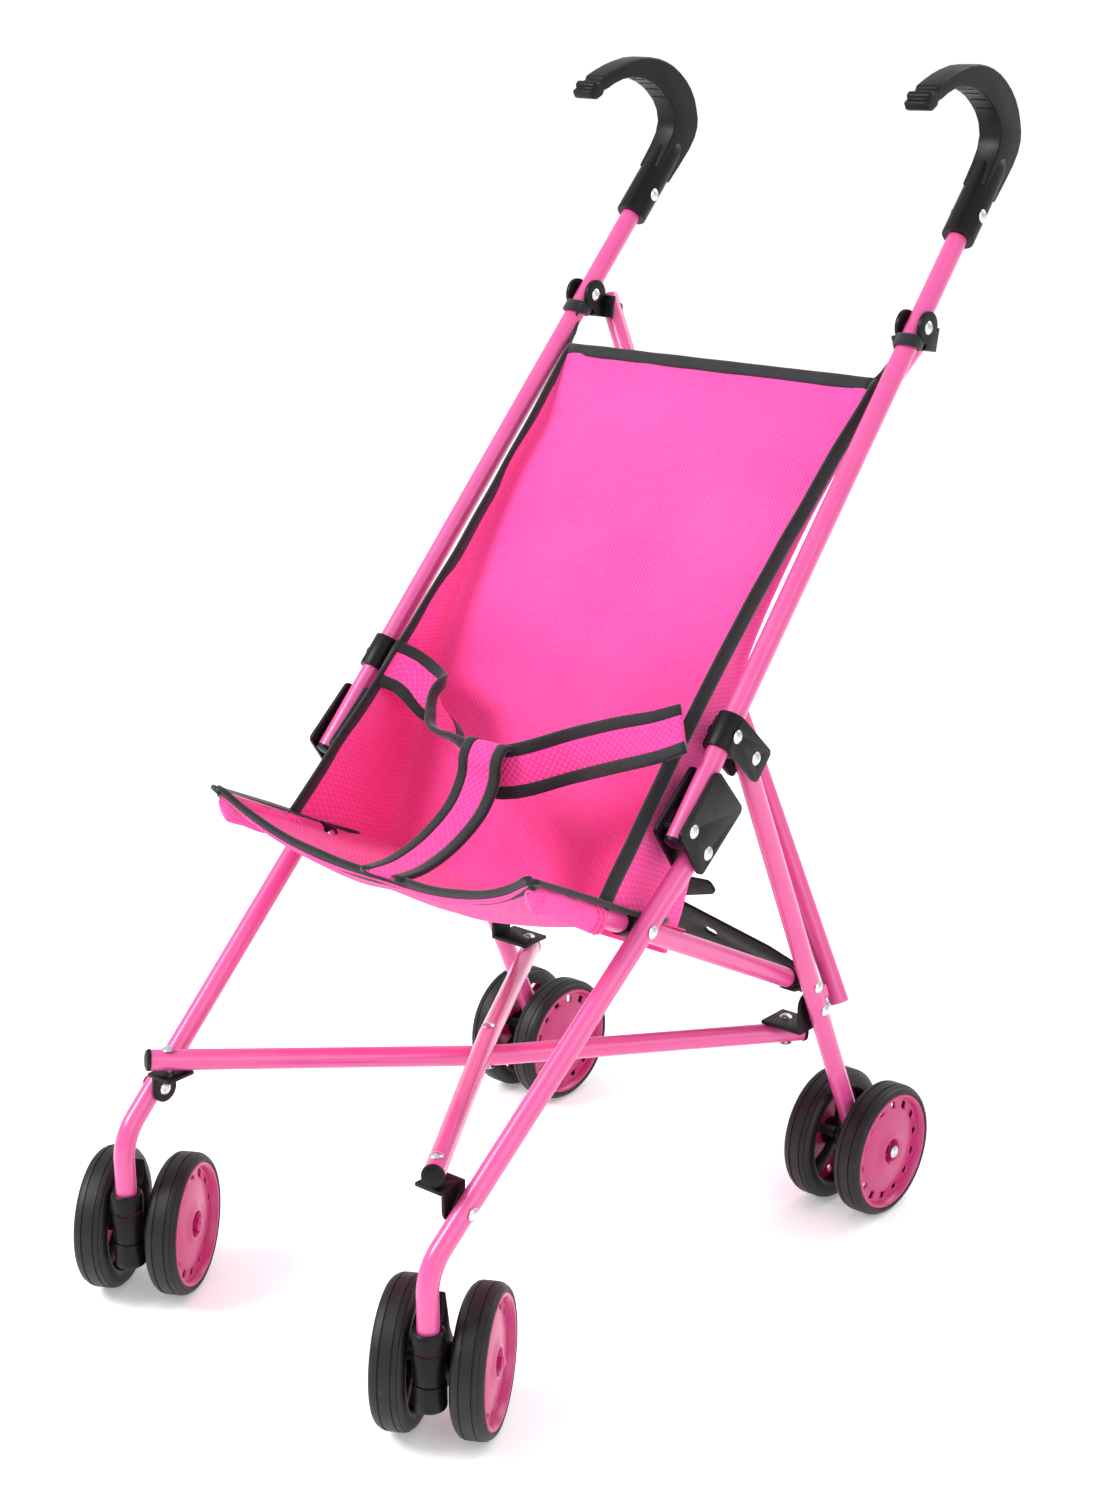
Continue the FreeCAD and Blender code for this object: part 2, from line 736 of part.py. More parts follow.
def rear_leg_rivets(side, word):
    """Rail, bracket and strut rivets, the stud behind the leg, and the rear axle."""
    name = "rear_leg_rivets_" + word
    out = Vector(side, 0, 0)
    tube = size("tube_radius")
    parts = []
    for index, z in enumerate((size("rail_end_z"), size("rear_bracket_z"))):
        point = rear_at_z(side, z)
        parts.append(rivet("%s_side%d" % (name, index), point - out * tube,
                           point + out * (tube + 0.02), "end"))
    back = rear_at_z(side, size("back_low_z"))
    near = back + REAR_BACK * (size("rivet_radius") + 0.8)
    far = back + REAR_BACK * (tube + size("back_standoff") - 4.2)
    shank = rod(name + "_stud", near, far, "sizes.rivet_radius")
    sleeve = rod(name + "_sleeve", back + REAR_BACK * (tube + 0.1), far, "sizes.head_radius")
    parts.append(join(name + "_back", [shank, sleeve]))
    pivot = rear_at_z(side, size("strut_z"))
    pivot = sided(side, size("strut_pivot_x"), pivot.y, pivot.z)
    face = strut_layer(side)
    tab_thick = size("tab_thick")
    if side == LEFT:
        tab_thick += size("sheet_thick") + size("plate_gap")
    low = pivot + REAR_BACK * (face - size("plate_gap") - tab_thick - 0.02)
    high = pivot + REAR_BACK * (face + size("sheet_thick") + 0.1)
    parts.append(rivet(name + "_strut", low, high, "end"))
    foot = rear_foot(side)
    half = size("rear_wheel_gap") + size("wheel_half_width") + 0.3
    axle = rod(name + "_axle", foot - X_AXIS * half, foot + X_AXIS * half, "sizes.axle_radius")
    ends = [dome(name + "_end0", foot - X_AXIS * half, Vector(-1, 0, 0)),
            dome(name + "_end1", foot + X_AXIS * half, X_AXIS)]
    parts.append(join(name + "_axle_set", [axle] + ends))
    return node(name, group(name, parts))


for word, side in SIDES.items():
    rear_leg(side, word)
    rear_leg_rivets(side, word)


# ---------------------------------------------------------------- seat rails

def rail(side, word):
    name = "rail_" + word
    pivot = rail_pivot(side)
    end = rail_end(side)
    axis = (pivot - end).normalize()
    front = pivot + axis * size("rail_front")
    back = end - axis * size("rail_tail")
    return node(name, straight_tube(name, back, front, [(pivot, X_AXIS, HOLE)]))


def rail_fittings(side, word):
    """Plastic collars on the rail, one at each leg."""
    name = "rail_fittings_" + word
    pivot = rail_pivot(side)
    end = rail_end(side)
    axis = (pivot - end).normalize()
    half = axis * (size("rail_collar_length") / 2)
    gap = "sizes.tube_radius + sizes.running_gap"
    collars = []
    for index, centre in enumerate((pivot, end)):
        solid = rod("%s_solid%d" % (name, index), centre - half, centre + half,
                    "sizes.rail_collar_radius")
        bore = rod("%s_bore%d" % (name, index), centre - half * 1.5, centre + half * 1.5, gap)
        hole = rod("%s_hole%d" % (name, index), centre - X_AXIS * 10, centre + X_AXIS * 10, HOLE)
        collars.append(cut("%s_collar%d" % (name, index), solid, [bore, hole]))
    return node(name, group(name, collars))


for word, side in SIDES.items():
    rail(side, word)
    rail_fittings(side, word)


# ---------------------------------------------------------------- crossed tubes behind the seat

def back_low(side):
    """Centre of a rear cross tube where it is held behind a rear leg."""
    point = rear_at_z(side, size("back_low_z"))
    return point + REAR_BACK * (2 * size("tube_radius") + size("back_standoff"))


EAR_REACH = size("ear_web") + size("sheet_thick") + size("plate_gap") * 2 + size("tube_radius")


def back_directions():
    """Down the plane of the rear cross tubes, and square to that plane, rearward."""
    top = handle_point(RIGHT, size("bracket_along"))
    low = back_low(RIGHT)
    chord = math.hypot(low.y - top.y, low.z - top.z)
    straight = math.atan2(low.z - top.z, low.y - top.y)
    angle = straight - math.asin(EAR_REACH / chord)
    down = Vector(0, math.cos(angle), math.sin(angle))
    return down, Vector(0, -down.z, down.y)


BACK_DOWN, BACK_OUT = back_directions()


def back_high(side):
    point = handle_point(side, size("bracket_along")) + BACK_OUT * EAR_REACH
    point = point + BACK_DOWN * size("ear_drop")
    return sided(side, size("back_high_x"), point.y, point.z)


def top_bracket(side, word):
    """A saddle that turns on the handle tube and holds the top of a rear cross tube."""
    name = "top_bracket_" + word
    thick = size("sheet_thick")
    centre = handle_point(side, size("bracket_along"))
    gap = size("tube_radius") + size("plate_gap")
    ears = []
    for index, x in enumerate((centre.x + gap, centre.x - gap - thick)):
        start = Vector(x, centre.y, centre.z)
        disc = rod("%s_ear%d" % (name, index), start, start + X_AXIS * thick, "sizes.ear_radius")
        arm_start = start
        arm = block("%s_arm%d" % (name, index), arm_start, X_AXIS, BACK_DOWN,
                    (thick, 10.0, size("ear_web") + thick))
        if X_AXIS.cross(BACK_DOWN).dot(BACK_OUT) < 0:
            arm.Placement.Base = arm_start + BACK_OUT * (size("ear_web") + thick)
        ears += [disc, arm]
    reach_in = centre.x - side * (gap + thick)
    pin = back_high(side)
    low_x = min(centre.x - gap - thick, pin.x - 6.0)
    high_x = max(centre.x + gap + thick, pin.x + 6.0)
    start = Vector(low_x, centre.y, centre.z) - BACK_DOWN + BACK_OUT * size("ear_web")
    web = block(name + "_web", start, X_AXIS, BACK_DOWN, (high_x - low_x, 11.0, thick))
    if X_AXIS.cross(BACK_DOWN).dot(BACK_OUT) < 0:
        web.Placement.Base = start + BACK_OUT * thick
    base = pin - BACK_OUT * (size("tube_radius") + size("plate_gap") * 2 + 0.2)
    tip = pin + BACK_OUT * (size("tube_radius") + size("plate_gap") * 2)
    stud = rivet(name + "_stud", base, tip, "end")
    hole = rod(name + "_hole", centre - X_AXIS * 15, centre + X_AXIS * 15, HOLE)
    return node(name, cut(name, join(name + "_solid", ears + [web, stud]), [hole]))


def rear_cross(name, side):
    """The tube that starts at one side's top bracket and ends at the other rear leg."""
    top = back_high(side)
    low = back_low(-side)
    step = BACK_OUT * (size("back_step") if side == RIGHT else -size("back_step"))
    middle = top + (low - top) * (top.x / (top.x - low.x)) + step
    points = [top + (top - middle).normalize() * size("back_overhang"), middle,
              low + (low - middle).normalize() * size("back_overhang")]
    bends = size("cross_bend_radius")
    solid = bent_bar(name + "_outside", points, "sizes.tube_radius", bends)
    bore = bent_bar(name + "_bore", points, BORE, bends)
    drills = drill_set(name, [(top, BACK_OUT, HOLE)])
    return node(name, cut(name, solid, [bore] + drills))


for word, side in SIDES.items():
    top_bracket(side, word)
rear_cross("rear_cross_a", LEFT)
rear_cross("rear_cross_b", RIGHT)


# ---------------------------------------------------------------- fold strut

def strut_link(side, word):
    """One link of the two-link strut; the left one runs on past the middle as a pedal."""
    name = "strut_link_" + word
    rise = math.radians(size("strut_rise"))
    length = size("strut_pivot_x") / math.cos(rise)
    half = size("strut_height") / 2
    if side == RIGHT:
        corners = [(-6.5, -7.5), (20.0, -half), (length - 14.0, -half), (length + 8.0, -6.5),
                   (length + 8.0, 6.5), (length - 14.0, half), (20.0, half), (-6.5, 7.5)]
    else:
        tip = length + size("strut_pedal")
        corners = [(-6.5, -7.5), (20.0, -half), (length + 6.0, -half), (length + 20.0, -2.0),
                   (tip, -1.0), (tip, 6.5), (length + 14.0, half + 3.0), (20.0, half),
                   (-6.5, 7.5)]
    centre = rear_at_z(side, size("strut_z"))
    inward = Vector(-side, 0, 0)
    up = -REAR_DOWN
    along = inward * math.cos(rise) + up * math.sin(rise)
    across = up * math.cos(rise) - inward * math.sin(rise)
    normal = along.cross(across)
    base = sided(side, size("strut_pivot_x"), centre.y, centre.z)
    base = base + REAR_BACK * strut_layer(side)
    flip = normal.dot(REAR_BACK) < 0
    turn = Rotation(along, across, normal, "XYZ")
    link = sheet_piece(name + "_plate", corners, 3.0, "sizes.sheet_thick",
                       Placement(base, turn), reverse=flip)
    drills = [rod(name + "_end_hole", base - REAR_BACK * 5, base + REAR_BACK * 5, HOLE)]
    if side == RIGHT:
        # the finger slot near the middle of the right-hand link
        slot_end = base + along * (length - 44.0) + across * 1.5
        for index in range(3):
            spot = slot_end + along * (1.5 * index)
            drills.append(rod("%s_slot%d" % (name, index), spot - REAR_BACK * 5,
                              spot + REAR_BACK * 5, "sizes.rivet_radius + 0.6"))
        return node(name, cut(name, link, drills))
    middle = base + along * length
    head = dome(name + "_head", middle + REAR_BACK * (size("sheet_thick") - 0.05), REAR_BACK)
    return node(name, cut(name, join(name + "_solid", [link, head]), drills))


for word, side in SIDES.items():
    strut_link(side, word)


# ---------------------------------------------------------------- wheels and casters

def revolved(name, outline, placement):
    """A turned piece: the outline is (along the axle, radius), turned about the axle."""
    body = document.addObject("PartDesign::Body", name)
    sketch = body.newObject("Sketcher::SketchObject", name + "_profile")
    plane = [p for p in body.Origin.OriginFeatures if p.Role == "XZ_Plane"][0]
    sketch.AttachmentSupport = [(plane, "")]
    sketch.MapMode = "FlatFace"
    points = [Vector(radius, along, 0) for along, radius in outline]
    for first, last in zip(points, points[1:] + points[:1]):
        sketch.addGeometry(Part.LineSegment(first, last), False)
    turned = body.newObject("PartDesign::Revolution", name + "_turned")
    turned.Profile = sketch
    turned.ReferenceAxis = (sketch, ["V_Axis"])
    turned.Angle = 360
    body.Placement = placement
    return body


def wheel_frame(centre, axle, outward):
    """Placement of a wheel whose own +Z is the side that carries the dish."""
    return Placement(centre, Rotation(Z_AXIS, axle * outward))


def wheel_outline():
    """Tyre, rim, web and hub of one wheel as one black moulding."""
    radius = size("wheel_radius")
    half = size("wheel_half_width")
    rim = radius - size("tyre_depth")
    bore = size("axle_radius") + size("running_gap")
    hub = size("hub_radius")
    return [(-half, bore), (-half, hub), (-half + 3.0, hub), (-half + 3.0, rim - 3.5),
            (-half + 0.6, rim - 2.5), (-half, rim), (-half + 0.4, radius - 3.5),
            (-half + 2.2, radius - 1.0), (-half + 4.6, radius), (half - 4.6, radius),
            (half - 2.2, radius - 1.0), (half - 0.4, radius - 3.5), (half, rim),
            (half - 2.0, rim - 0.8), (-half + 5.0, rim - 2.0), (-half + 5.0, hub),
            (half - 5.0, hub), (half - 5.0, bore)]


def dish_outline():
    """The coloured dish that fills the wheel's outer face, with its sunken hub."""
    half = size("wheel_half_width")
    rim = size("wheel_radius") - size("tyre_depth") - 1.6
    bore = size("axle_radius") + 0.4
    hub = size("hub_radius")
    return [(half - 4.8, bore), (half - 4.8, hub + 1.4), (half - 1.4, hub + 2.6),
            (half - 2.4, rim * 0.62), (half - 2.6, rim), (half - 1.2, rim),
            (half - 1.0, rim * 0.62), (half + 0.2, hub + 1.8), (half - 3.2, hub),
            (half - 3.2, bore)]


WEB_WINDOWS = 6
DISH_HOLES = 14


def web_cutters(name, placement):
    """Round windows between the spokes of the web."""
    cutters = []
    half = size("wheel_half_width")
    reach = (size("hub_radius") + size("wheel_radius") - size("tyre_depth") - 3.0) / 2
    for index in range(WEB_WINDOWS):
        angle = 2 * math.pi * index / WEB_WINDOWS
        spot = Vector(reach * math.cos(angle), reach * math.sin(angle), -half - 1)
        cutter = document.addObject("Part::Cylinder", "%s_window%d" % (name, index))
        cutter.Radius = 6.0
        cutter.Height = 8.0
        cutter.Placement = placement.multiply(Placement(spot, Rotation()))
        cutters.append(cutter)
    return cutters


def dish_cutters(name, placement):
    """Small square holes in a ring round the dish."""
    cutters = []
    side = 3.4
    reach = (size("wheel_radius") - size("tyre_depth")) * 0.76
    for index in range(DISH_HOLES):
        turn = Rotation(Z_AXIS, 360.0 * index / DISH_HOLES)
        spot = turn.multVec(Vector(reach - side / 2, -side / 2, 0))
        cutter = document.addObject("Part::Box", "%s_hole%d" % (name, index))
        cutter.Length = side
        cutter.Width = side
        cutter.Height = size("wheel_half_width") + 3
        cutter.Placement = placement.multiply(Placement(spot, turn))
        cutters.append(cutter)
    return cutters


def wheel(name, centre, axle, outward):
    placement = wheel_frame(centre, axle, outward)
    body = revolved("wheel_%s_turned" % name, wheel_outline(), placement)
    windows = web_cutters("wheel_" + name, placement)
    node("wheel_" + name, cut("wheel_" + name, body, windows))
    cover = revolved("dish_%s_turned" % name, dish_outline(), placement)
    holes = dish_cutters("dish_" + name, placement)
    node("dish_" + name, cut("dish_" + name, cover, holes))


def caster_axis(side):
    return sided(side, size("leg_bend_x"), size("leg_bend_y"), 0)


def caster_directions():
    """Along the caster's axle and along its trail, with the caster turned."""
    angle = math.radians(size("caster_turn"))
    axle = Vector(math.cos(angle), math.sin(angle), 0)
    return axle, Vector(-math.sin(angle), math.cos(angle), 0)


CASTER_AXLE, CASTER_TRAIL = caster_directions()


def caster(side, word):
    """A fork with a collar above and below the knuckle and a boss round the axle."""
    name = "caster_" + word
    foot = caster_axis(side)
    gap = size("plate_gap")
    wide = size("caster_radius")
    upper = rod(name + "_upper", foot + Z_AXIS * (size("knuckle_high") + gap),
                foot + Z_AXIS * size("caster_high"), "sizes.caster_radius")
    lower = rod(name + "_lower", foot + Z_AXIS * size("caster_low"),
                foot + Z_AXIS * (size("knuckle_low") - gap), "sizes.caster_radius")
    hub = foot + CASTER_TRAIL * size("caster_trail") + Z_AXIS * size("wheel_radius")
    half = size("front_wheel_gap") - size("wheel_half_width") - 1.0
    boss = rod(name + "_boss", hub - CASTER_AXLE * half, hub + CASTER_AXLE * half,
               "sizes.hub_radius + 1.0")
    spine_width = 8.0
    start = size("knuckle_radius") + 0.8
    corner = foot + CASTER_TRAIL * start - CASTER_AXLE * (spine_width / 2)
    corner = corner + Z_AXIS * size("caster_low")
    spine = block(name + "_spine", corner, CASTER_AXLE, CASTER_TRAIL,
                  (spine_width, size("caster_trail") - start, size("caster_high") - size("caster_low")))
    bridge_low = foot - CASTER_AXLE * (spine_width / 2) + Z_AXIS * size("caster_low")
    low_bridge = block(name + "_low_bridge", bridge_low, CASTER_AXLE, CASTER_TRAIL,
                       (spine_width, start + 2, size("knuckle_low") - gap - size("caster_low")))
    bridge_high = foot - CASTER_AXLE * (spine_width / 2) + Z_AXIS * (size("knuckle_high") + gap)
    high_bridge = block(name + "_high_bridge", bridge_high, CASTER_AXLE, CASTER_TRAIL,
                        (spine_width, start + 2, size("caster_high") - size("knuckle_high") - gap))
    solid = join(name + "_solid", [upper, lower, boss, spine, low_bridge, high_bridge])
    tube_hole = rod(name + "_tube_hole", foot + Z_AXIS * (size("leg_foot_z") - gap),
                    foot + Z_AXIS * (size("caster_high") + 5),
                    "sizes.tube_radius + sizes.running_gap * 2")
    reach = CASTER_AXLE * (half + 5)
    axle_hole = rod(name + "_axle_hole", hub - reach, hub + reach,
                    "sizes.axle_radius + sizes.running_gap")
    return node(name, cut(name, solid, [tube_hole, axle_hole]))


def front_axle(side, word):
    name = "front_axle_" + word
    hub = caster_axis(side) + CASTER_TRAIL * size("caster_trail") + Z_AXIS * size("wheel_radius")
    half = CASTER_AXLE * (size("front_wheel_gap") + size("wheel_half_width") + 0.3)
    shaft = rod(name + "_shaft", hub - half, hub + half, "sizes.axle_radius")
    ends = [dome(name + "_end0", hub - half, -CASTER_AXLE), dome(name + "_end1", hub + half, CASTER_AXLE)]
    return node(name, join(name, [shaft] + ends))


for word, side in SIDES.items():
    caster(side, word)
    front_axle(side, word)
    hub = caster_axis(side) + CASTER_TRAIL * size("caster_trail") + Z_AXIS * size("wheel_radius")
    for place_word, way in (("outer", side), ("inner", -side)):
        centre = hub + CASTER_AXLE * (way * size("front_wheel_gap"))
        wheel("front_%s_%s" % (word, place_word), centre, CASTER_AXLE, way)
        centre = rear_foot(side) + X_AXIS * (way * size("rear_wheel_gap"))
        wheel("rear_%s_%s" % (word, place_word), centre, X_AXIS, way)


# ---------------------------------------------------------------- seat sling

def slab(name, profile, low_x, high_x):
    """A soft panel: a closed outline in the YZ plane, as wide as the given span."""
    points = [Vector(low_x, y, z) for y, z in profile]
    face = Part.Face(Part.makePolygon(points + [points[0]]))
    feature = document.addObject("Part::Feature", name)
    feature.Shape = face.extrude(Vector(high_x - low_x, 0, 0))
    return feature


def ribbon(points, thickness):
    """The closed outline of a strip of one thickness below a chain of points."""
    lower = []
    for index, (y, z) in enumerate(points):
        before = points[max(index - 1, 0)]
        after = points[min(index + 1, len(points) - 1)]
        length = math.hypot(after[0] - before[0], after[1] - before[1])
        lower.append((y + (after[1] - before[1]) / length * thickness,
                      z - (after[0] - before[0]) / length * thickness))
    return points + lower[::-1]


# The side view of the sling: the backrest from its top edge to the crease, the seat from
# its front edge to the crease, and the front edge of the wings.
BACK_LINE = [(150.0, 407.0), (127.0, 370.0), (107.0, 349.0), (88.0, 324.0), (71.0, 302.0),
             (58.0, 280.0), (47.0, 256.0), (36.0, 230.0), (24.0, 206.0), (13.0, 187.0)]
SEAT_LINE = [(-92.0, 213.0), (-72.0, 203.0), (-48.0, 192.0), (-24.0, 184.0), (8.0, 176.0)]
WING_LINE = [(-51.0, 216.0), (146.0, 406.0)]
STRAP_LINE = [(-84.0, 212.5), (-62.0, 214.0), (-40.0, 226.0), (-25.0, 246.0)]
LAP_LINE = [(-22.0, 259.0), (-16.0, 251.0), (-12.0, 238.0)]


def seat_back():
    """Backrest with a wing at each side."""
    half = size("back_half_width")
    outline = ribbon(BACK_LINE[::-1], -size("seat_thick"))
    parts = [slab("seat_back_panel", outline, -half, half)]
    wing = WING_LINE + [(y + 1.5, z - 1.5) for y, z in BACK_LINE[1:]]
    for side in (RIGHT, LEFT):
        near = half + size("sew_gap")
        far = near + size("wing_thick")
        low, high = (near, far) if side == RIGHT else (-far, -near)
        parts.append(slab("seat_wing_%d" % (side + 1), wing, low, high))
    return node("seat_back", group("seat_back", parts))


def seat_panel():
    half = size("seat_half_width")
    outline = ribbon(SEAT_LINE, size("seat_thick"))
    return node("seat_panel", slab("seat_panel", outline, -half, half))


def seat_belt():
    """Crotch strap and lap belt, clear of the seat."""
    half = size("belt_width") / 2
    strap = slab("seat_belt_strap", ribbon(STRAP_LINE, 1.6), -half, half)
    reach = size("back_half_width") - size("sew_gap")
    lap = slab("seat_belt_lap", ribbon(LAP_LINE, 1.6), -reach, reach)
    return node("seat_belt", group("seat_belt", [strap, lap]))


seat_back()
seat_panel()
seat_belt()


# ---------------------------------------------------------------- check and write

for item in nodes.values():
    to_middle = Placement(Vector(-size("middle_x"), -size("middle_y"), 0), Rotation())
    item.Placement = to_middle.multiply(item.Placement)
document.recompute()
for item in document.Objects:
    if "Invalid" in item.State or "Error" in item.State:
        raise RuntimeError("%s did not build" % item.Label)
for name, item in nodes.items():
    if item.Shape.isNull() or not item.Shape.isValid() or not item.Shape.Solids:
        raise RuntimeError("%s has no valid solid" % name)
if len(nodes) > 60:
    raise RuntimeError("too many sub-parts")

os.makedirs("parts", exist_ok=True)
for name, item in nodes.items():
    item.Shape.exportStep("parts/%s.step" % name)
print("%d sub-parts written" % len(nodes))
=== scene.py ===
import bmesh
import bpy
import json
import math
from mathutils import Matrix, Vector, noise

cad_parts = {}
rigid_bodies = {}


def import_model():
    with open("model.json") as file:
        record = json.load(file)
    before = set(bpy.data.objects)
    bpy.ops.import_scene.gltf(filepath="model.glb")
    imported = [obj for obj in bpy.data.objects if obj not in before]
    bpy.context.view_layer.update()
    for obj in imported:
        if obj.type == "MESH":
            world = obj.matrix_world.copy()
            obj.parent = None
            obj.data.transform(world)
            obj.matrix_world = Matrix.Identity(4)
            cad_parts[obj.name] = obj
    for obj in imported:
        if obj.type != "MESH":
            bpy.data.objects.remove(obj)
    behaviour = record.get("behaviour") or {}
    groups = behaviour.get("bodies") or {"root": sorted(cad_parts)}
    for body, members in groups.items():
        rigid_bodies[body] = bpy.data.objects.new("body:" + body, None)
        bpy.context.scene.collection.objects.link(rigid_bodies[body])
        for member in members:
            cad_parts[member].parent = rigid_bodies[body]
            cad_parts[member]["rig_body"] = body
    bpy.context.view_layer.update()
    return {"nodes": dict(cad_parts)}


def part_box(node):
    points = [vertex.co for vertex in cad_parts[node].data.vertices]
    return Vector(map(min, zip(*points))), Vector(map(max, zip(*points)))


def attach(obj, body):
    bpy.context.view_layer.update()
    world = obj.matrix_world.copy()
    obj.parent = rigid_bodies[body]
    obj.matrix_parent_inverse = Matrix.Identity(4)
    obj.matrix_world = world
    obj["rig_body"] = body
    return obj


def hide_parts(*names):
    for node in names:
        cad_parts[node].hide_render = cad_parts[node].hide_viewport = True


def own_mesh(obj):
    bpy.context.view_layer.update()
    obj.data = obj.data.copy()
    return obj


# Looks of the doll stroller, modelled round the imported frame. Metres, the row frame:
# the front of the stroller faces -Y and the floor is Z = 0.
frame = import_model()
for item in bpy.context.selected_objects:
    item.select_set(False)

MM = 0.001
SIDES = {"right": 1, "left": -1}
TUBE_RADIUS = 4.8
HANDLE_FOOT = 16.0      # how far in front of the middle the handle tubes end
END_REACH = 0.72        # the share of its radius that their sloping end reaches forward
# the plane of symmetry stands a little aside, because the turned casters move the middle
right_low, right_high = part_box("handle_tube_right")
left_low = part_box("handle_tube_left")[0]
PLANE_X = (right_high.x + left_low.x) / 2
MIDDLE_Y = right_low.y + (HANDLE_FOOT + TUBE_RADIUS * END_REACH) * MM


def at(x, y, z):
    """A point given in millimetres from the plane of symmetry."""
    return Vector((PLANE_X + x * MM, MIDDLE_Y + y * MM, z * MM))


# ---------------------------------------------------------------- camera and lights

LENS, SENSOR = 59.77, 36
EYE_PLACE = (0.722455, -0.848901, 0.591712)


def set_camera():
    """The three-quarter view from the front right, at eye height above a low table."""
    camera = bpy.data.cameras.new("camera")
    camera.lens = LENS
    camera.sensor_width = SENSOR
    camera.clip_start = 0.01
    eye = bpy.data.objects.new("camera", camera)
    right = Vector((0.76226, 0.64722, -0.00812))
    up = Vector((-0.18980, 0.23550, 0.95315))
    back = Vector((0.61881, -0.72502, 0.30236))
    turn = Matrix((right, up, back)).transposed()
    eye.matrix_world = Matrix.Translation(EYE_PLACE) @ turn.to_4x4()
    bpy.context.scene.collection.objects.link(eye)
    bpy.context.scene.camera = eye


def soft_lamp(name, place, side, power):
    """A square lamp aimed at the middle of the stroller."""
    lamp = bpy.data.lights.new(name, "AREA")
    lamp.size = side
    lamp.energy = power
    holder = bpy.data.objects.new(name, lamp)
    holder.location = place
    holder.rotation_mode = "QUATERNION"
    holder.rotation_quaternion = (LAMP_AIM - Vector(place)).to_track_quat("-Z", "Y")
    bpy.context.scene.collection.objects.link(holder)


LAMP_AIM = Vector((0, 0, 0.25))
SKY_STRENGTH = 0.82

set_camera()
soft_lamp("key", (-0.9, -1.3, 1.6), 0.8, 34)
soft_lamp("fill", (1.5, -0.5, 0.9), 1.2, 7)
soft_lamp("back", (0.3, 1.4, 1.3), 1.0, 10)
world = bpy.data.worlds.new("studio")
world.use_nodes = True
world.node_tree.nodes["Background"].inputs["Color"].default_value = (1, 1, 1, 1)
world.node_tree.nodes["Background"].inputs["Strength"].default_value = SKY_STRENGTH
bpy.context.scene.world = world
bpy.context.scene.view_settings.view_transform = "Standard"


# ---------------------------------------------------------------- shader helpers

class Socket:
    """One output socket of a material; Python's operators add Math nodes to it."""

    def __init__(self, tree, out):
        self.tree, self.out = tree, out

    def math(self, operation, *others, swap=False, clamp=False):
        node = self.tree.nodes.new("ShaderNodeMath")
        node.operation = operation
        node.use_clamp = clamp
        values = [self, *others]
        for socket, value in zip(node.inputs, values[::-1] if swap else values):
            if isinstance(value, Socket):
                self.tree.links.new(value.out, socket)
            else:
                socket.default_value = value
        return Socket(self.tree, node.outputs[0])

    def __add__(self, other):
        return self.math("ADD", other)

    def __sub__(self, other):
        return self.math("SUBTRACT", other)

    def __rsub__(self, other):
        return self.math("SUBTRACT", other, swap=True)

    def __mul__(self, other):
        return self.math("MULTIPLY", other)

    def __abs__(self):
        return self.math("ABSOLUTE")

    __radd__ = __add__
    __rmul__ = __mul__


def shade(code):
    """A colour from its six hex digits, as the shader wants it."""
    parts = [int(code[i:i + 2], 16) / 255 for i in (0, 2, 4)]
    return tuple(p / 12.92 if p < 0.04045 else ((p + 0.055) / 1.055) ** 2.4 for p in parts) + (1,)


OBJECT_COORDINATES = 3      # the output of a Texture Coordinate node


class Finish:
    """A material with one Principled shader, built up node by node."""

    def __init__(self, name, **constants):
        self.material = bpy.data.materials.new(name)
        self.material.use_nodes = True
        self.tree = self.material.node_tree
        self.shader = self.tree.nodes["Principled BSDF"]
        for word, value in constants.items():
            socket = word.replace("_", " ").title().replace("Ior", "IOR")
            self.shader.inputs[socket].default_value = value

    def node(self, kind, settings=None, out=0, **inputs):
        """A new node; a keyword names an input, and i0, i6, i7 give one by its number."""
        node = self.tree.nodes.new("ShaderNode" + kind)
        for word, value in (settings or {}).items():
            setattr(node, word, value)
        for word, value in inputs.items():
            key = int(word[1:]) if word[0] == "i" and word[1:].isdigit() else word
            socket = node.inputs[key]
            if isinstance(value, Socket):
                self.tree.links.new(value.out, socket)
            else:
                socket.default_value = value
        return Socket(self.tree, node.outputs[out])

    def place(self):
        """Where a point lies on the piece, in metres."""
        return self.node("TexCoord", out=OBJECT_COORDINATES)

    def noise(self, scale, detail=3.0):
        return self.node("TexNoise", Vector=self.place(), Scale=scale, Detail=detail)

    def blend(self, factor, first, second):
        return self.node("Mix", {"data_type": "RGBA"}, out=2, i0=factor, i6=first, i7=second)

    def feed(self, word, value):
        self.tree.links.new(value.out, self.shader.inputs[word])

    def bump(self, height, distance, strength=1.0):
        self.feed("Normal", self.node("Bump", Height=height, Distance=distance,
                                      Strength=strength))


# ---------------------------------------------------------------- finishes

def make_enamel():
    """Pink powder enamel on steel tube: a clear gloss over a faint orange peel."""
    f = Finish("pink_enamel", coat_weight=0.55, coat_roughness=0.12, metallic=0.0)
    mottle = f.noise(38.0, 3.0)
    f.feed("Base Color", f.blend(mottle, shade("CF428B"), shade("DC5596")))
    f.feed("Roughness", f.noise(210.0) * 0.14 + 0.27)
    f.bump(f.noise(900.0, 2.0), 0.00005, 0.35)
    return f.material


def make_steel():
    """Zinc-plated rivets, brushed by the setting tool."""
    f = Finish("zinc_rivet", metallic=1.0)
    f.feed("Base Color", f.blend(f.noise(500.0), shade("B9BEC4"), shade("E6E9EC")))
    f.feed("Roughness", f.noise(900.0) * 0.2 + 0.16)
    f.bump(f.noise(1500.0, 2.0), 0.00004, 0.4)
    return f.material


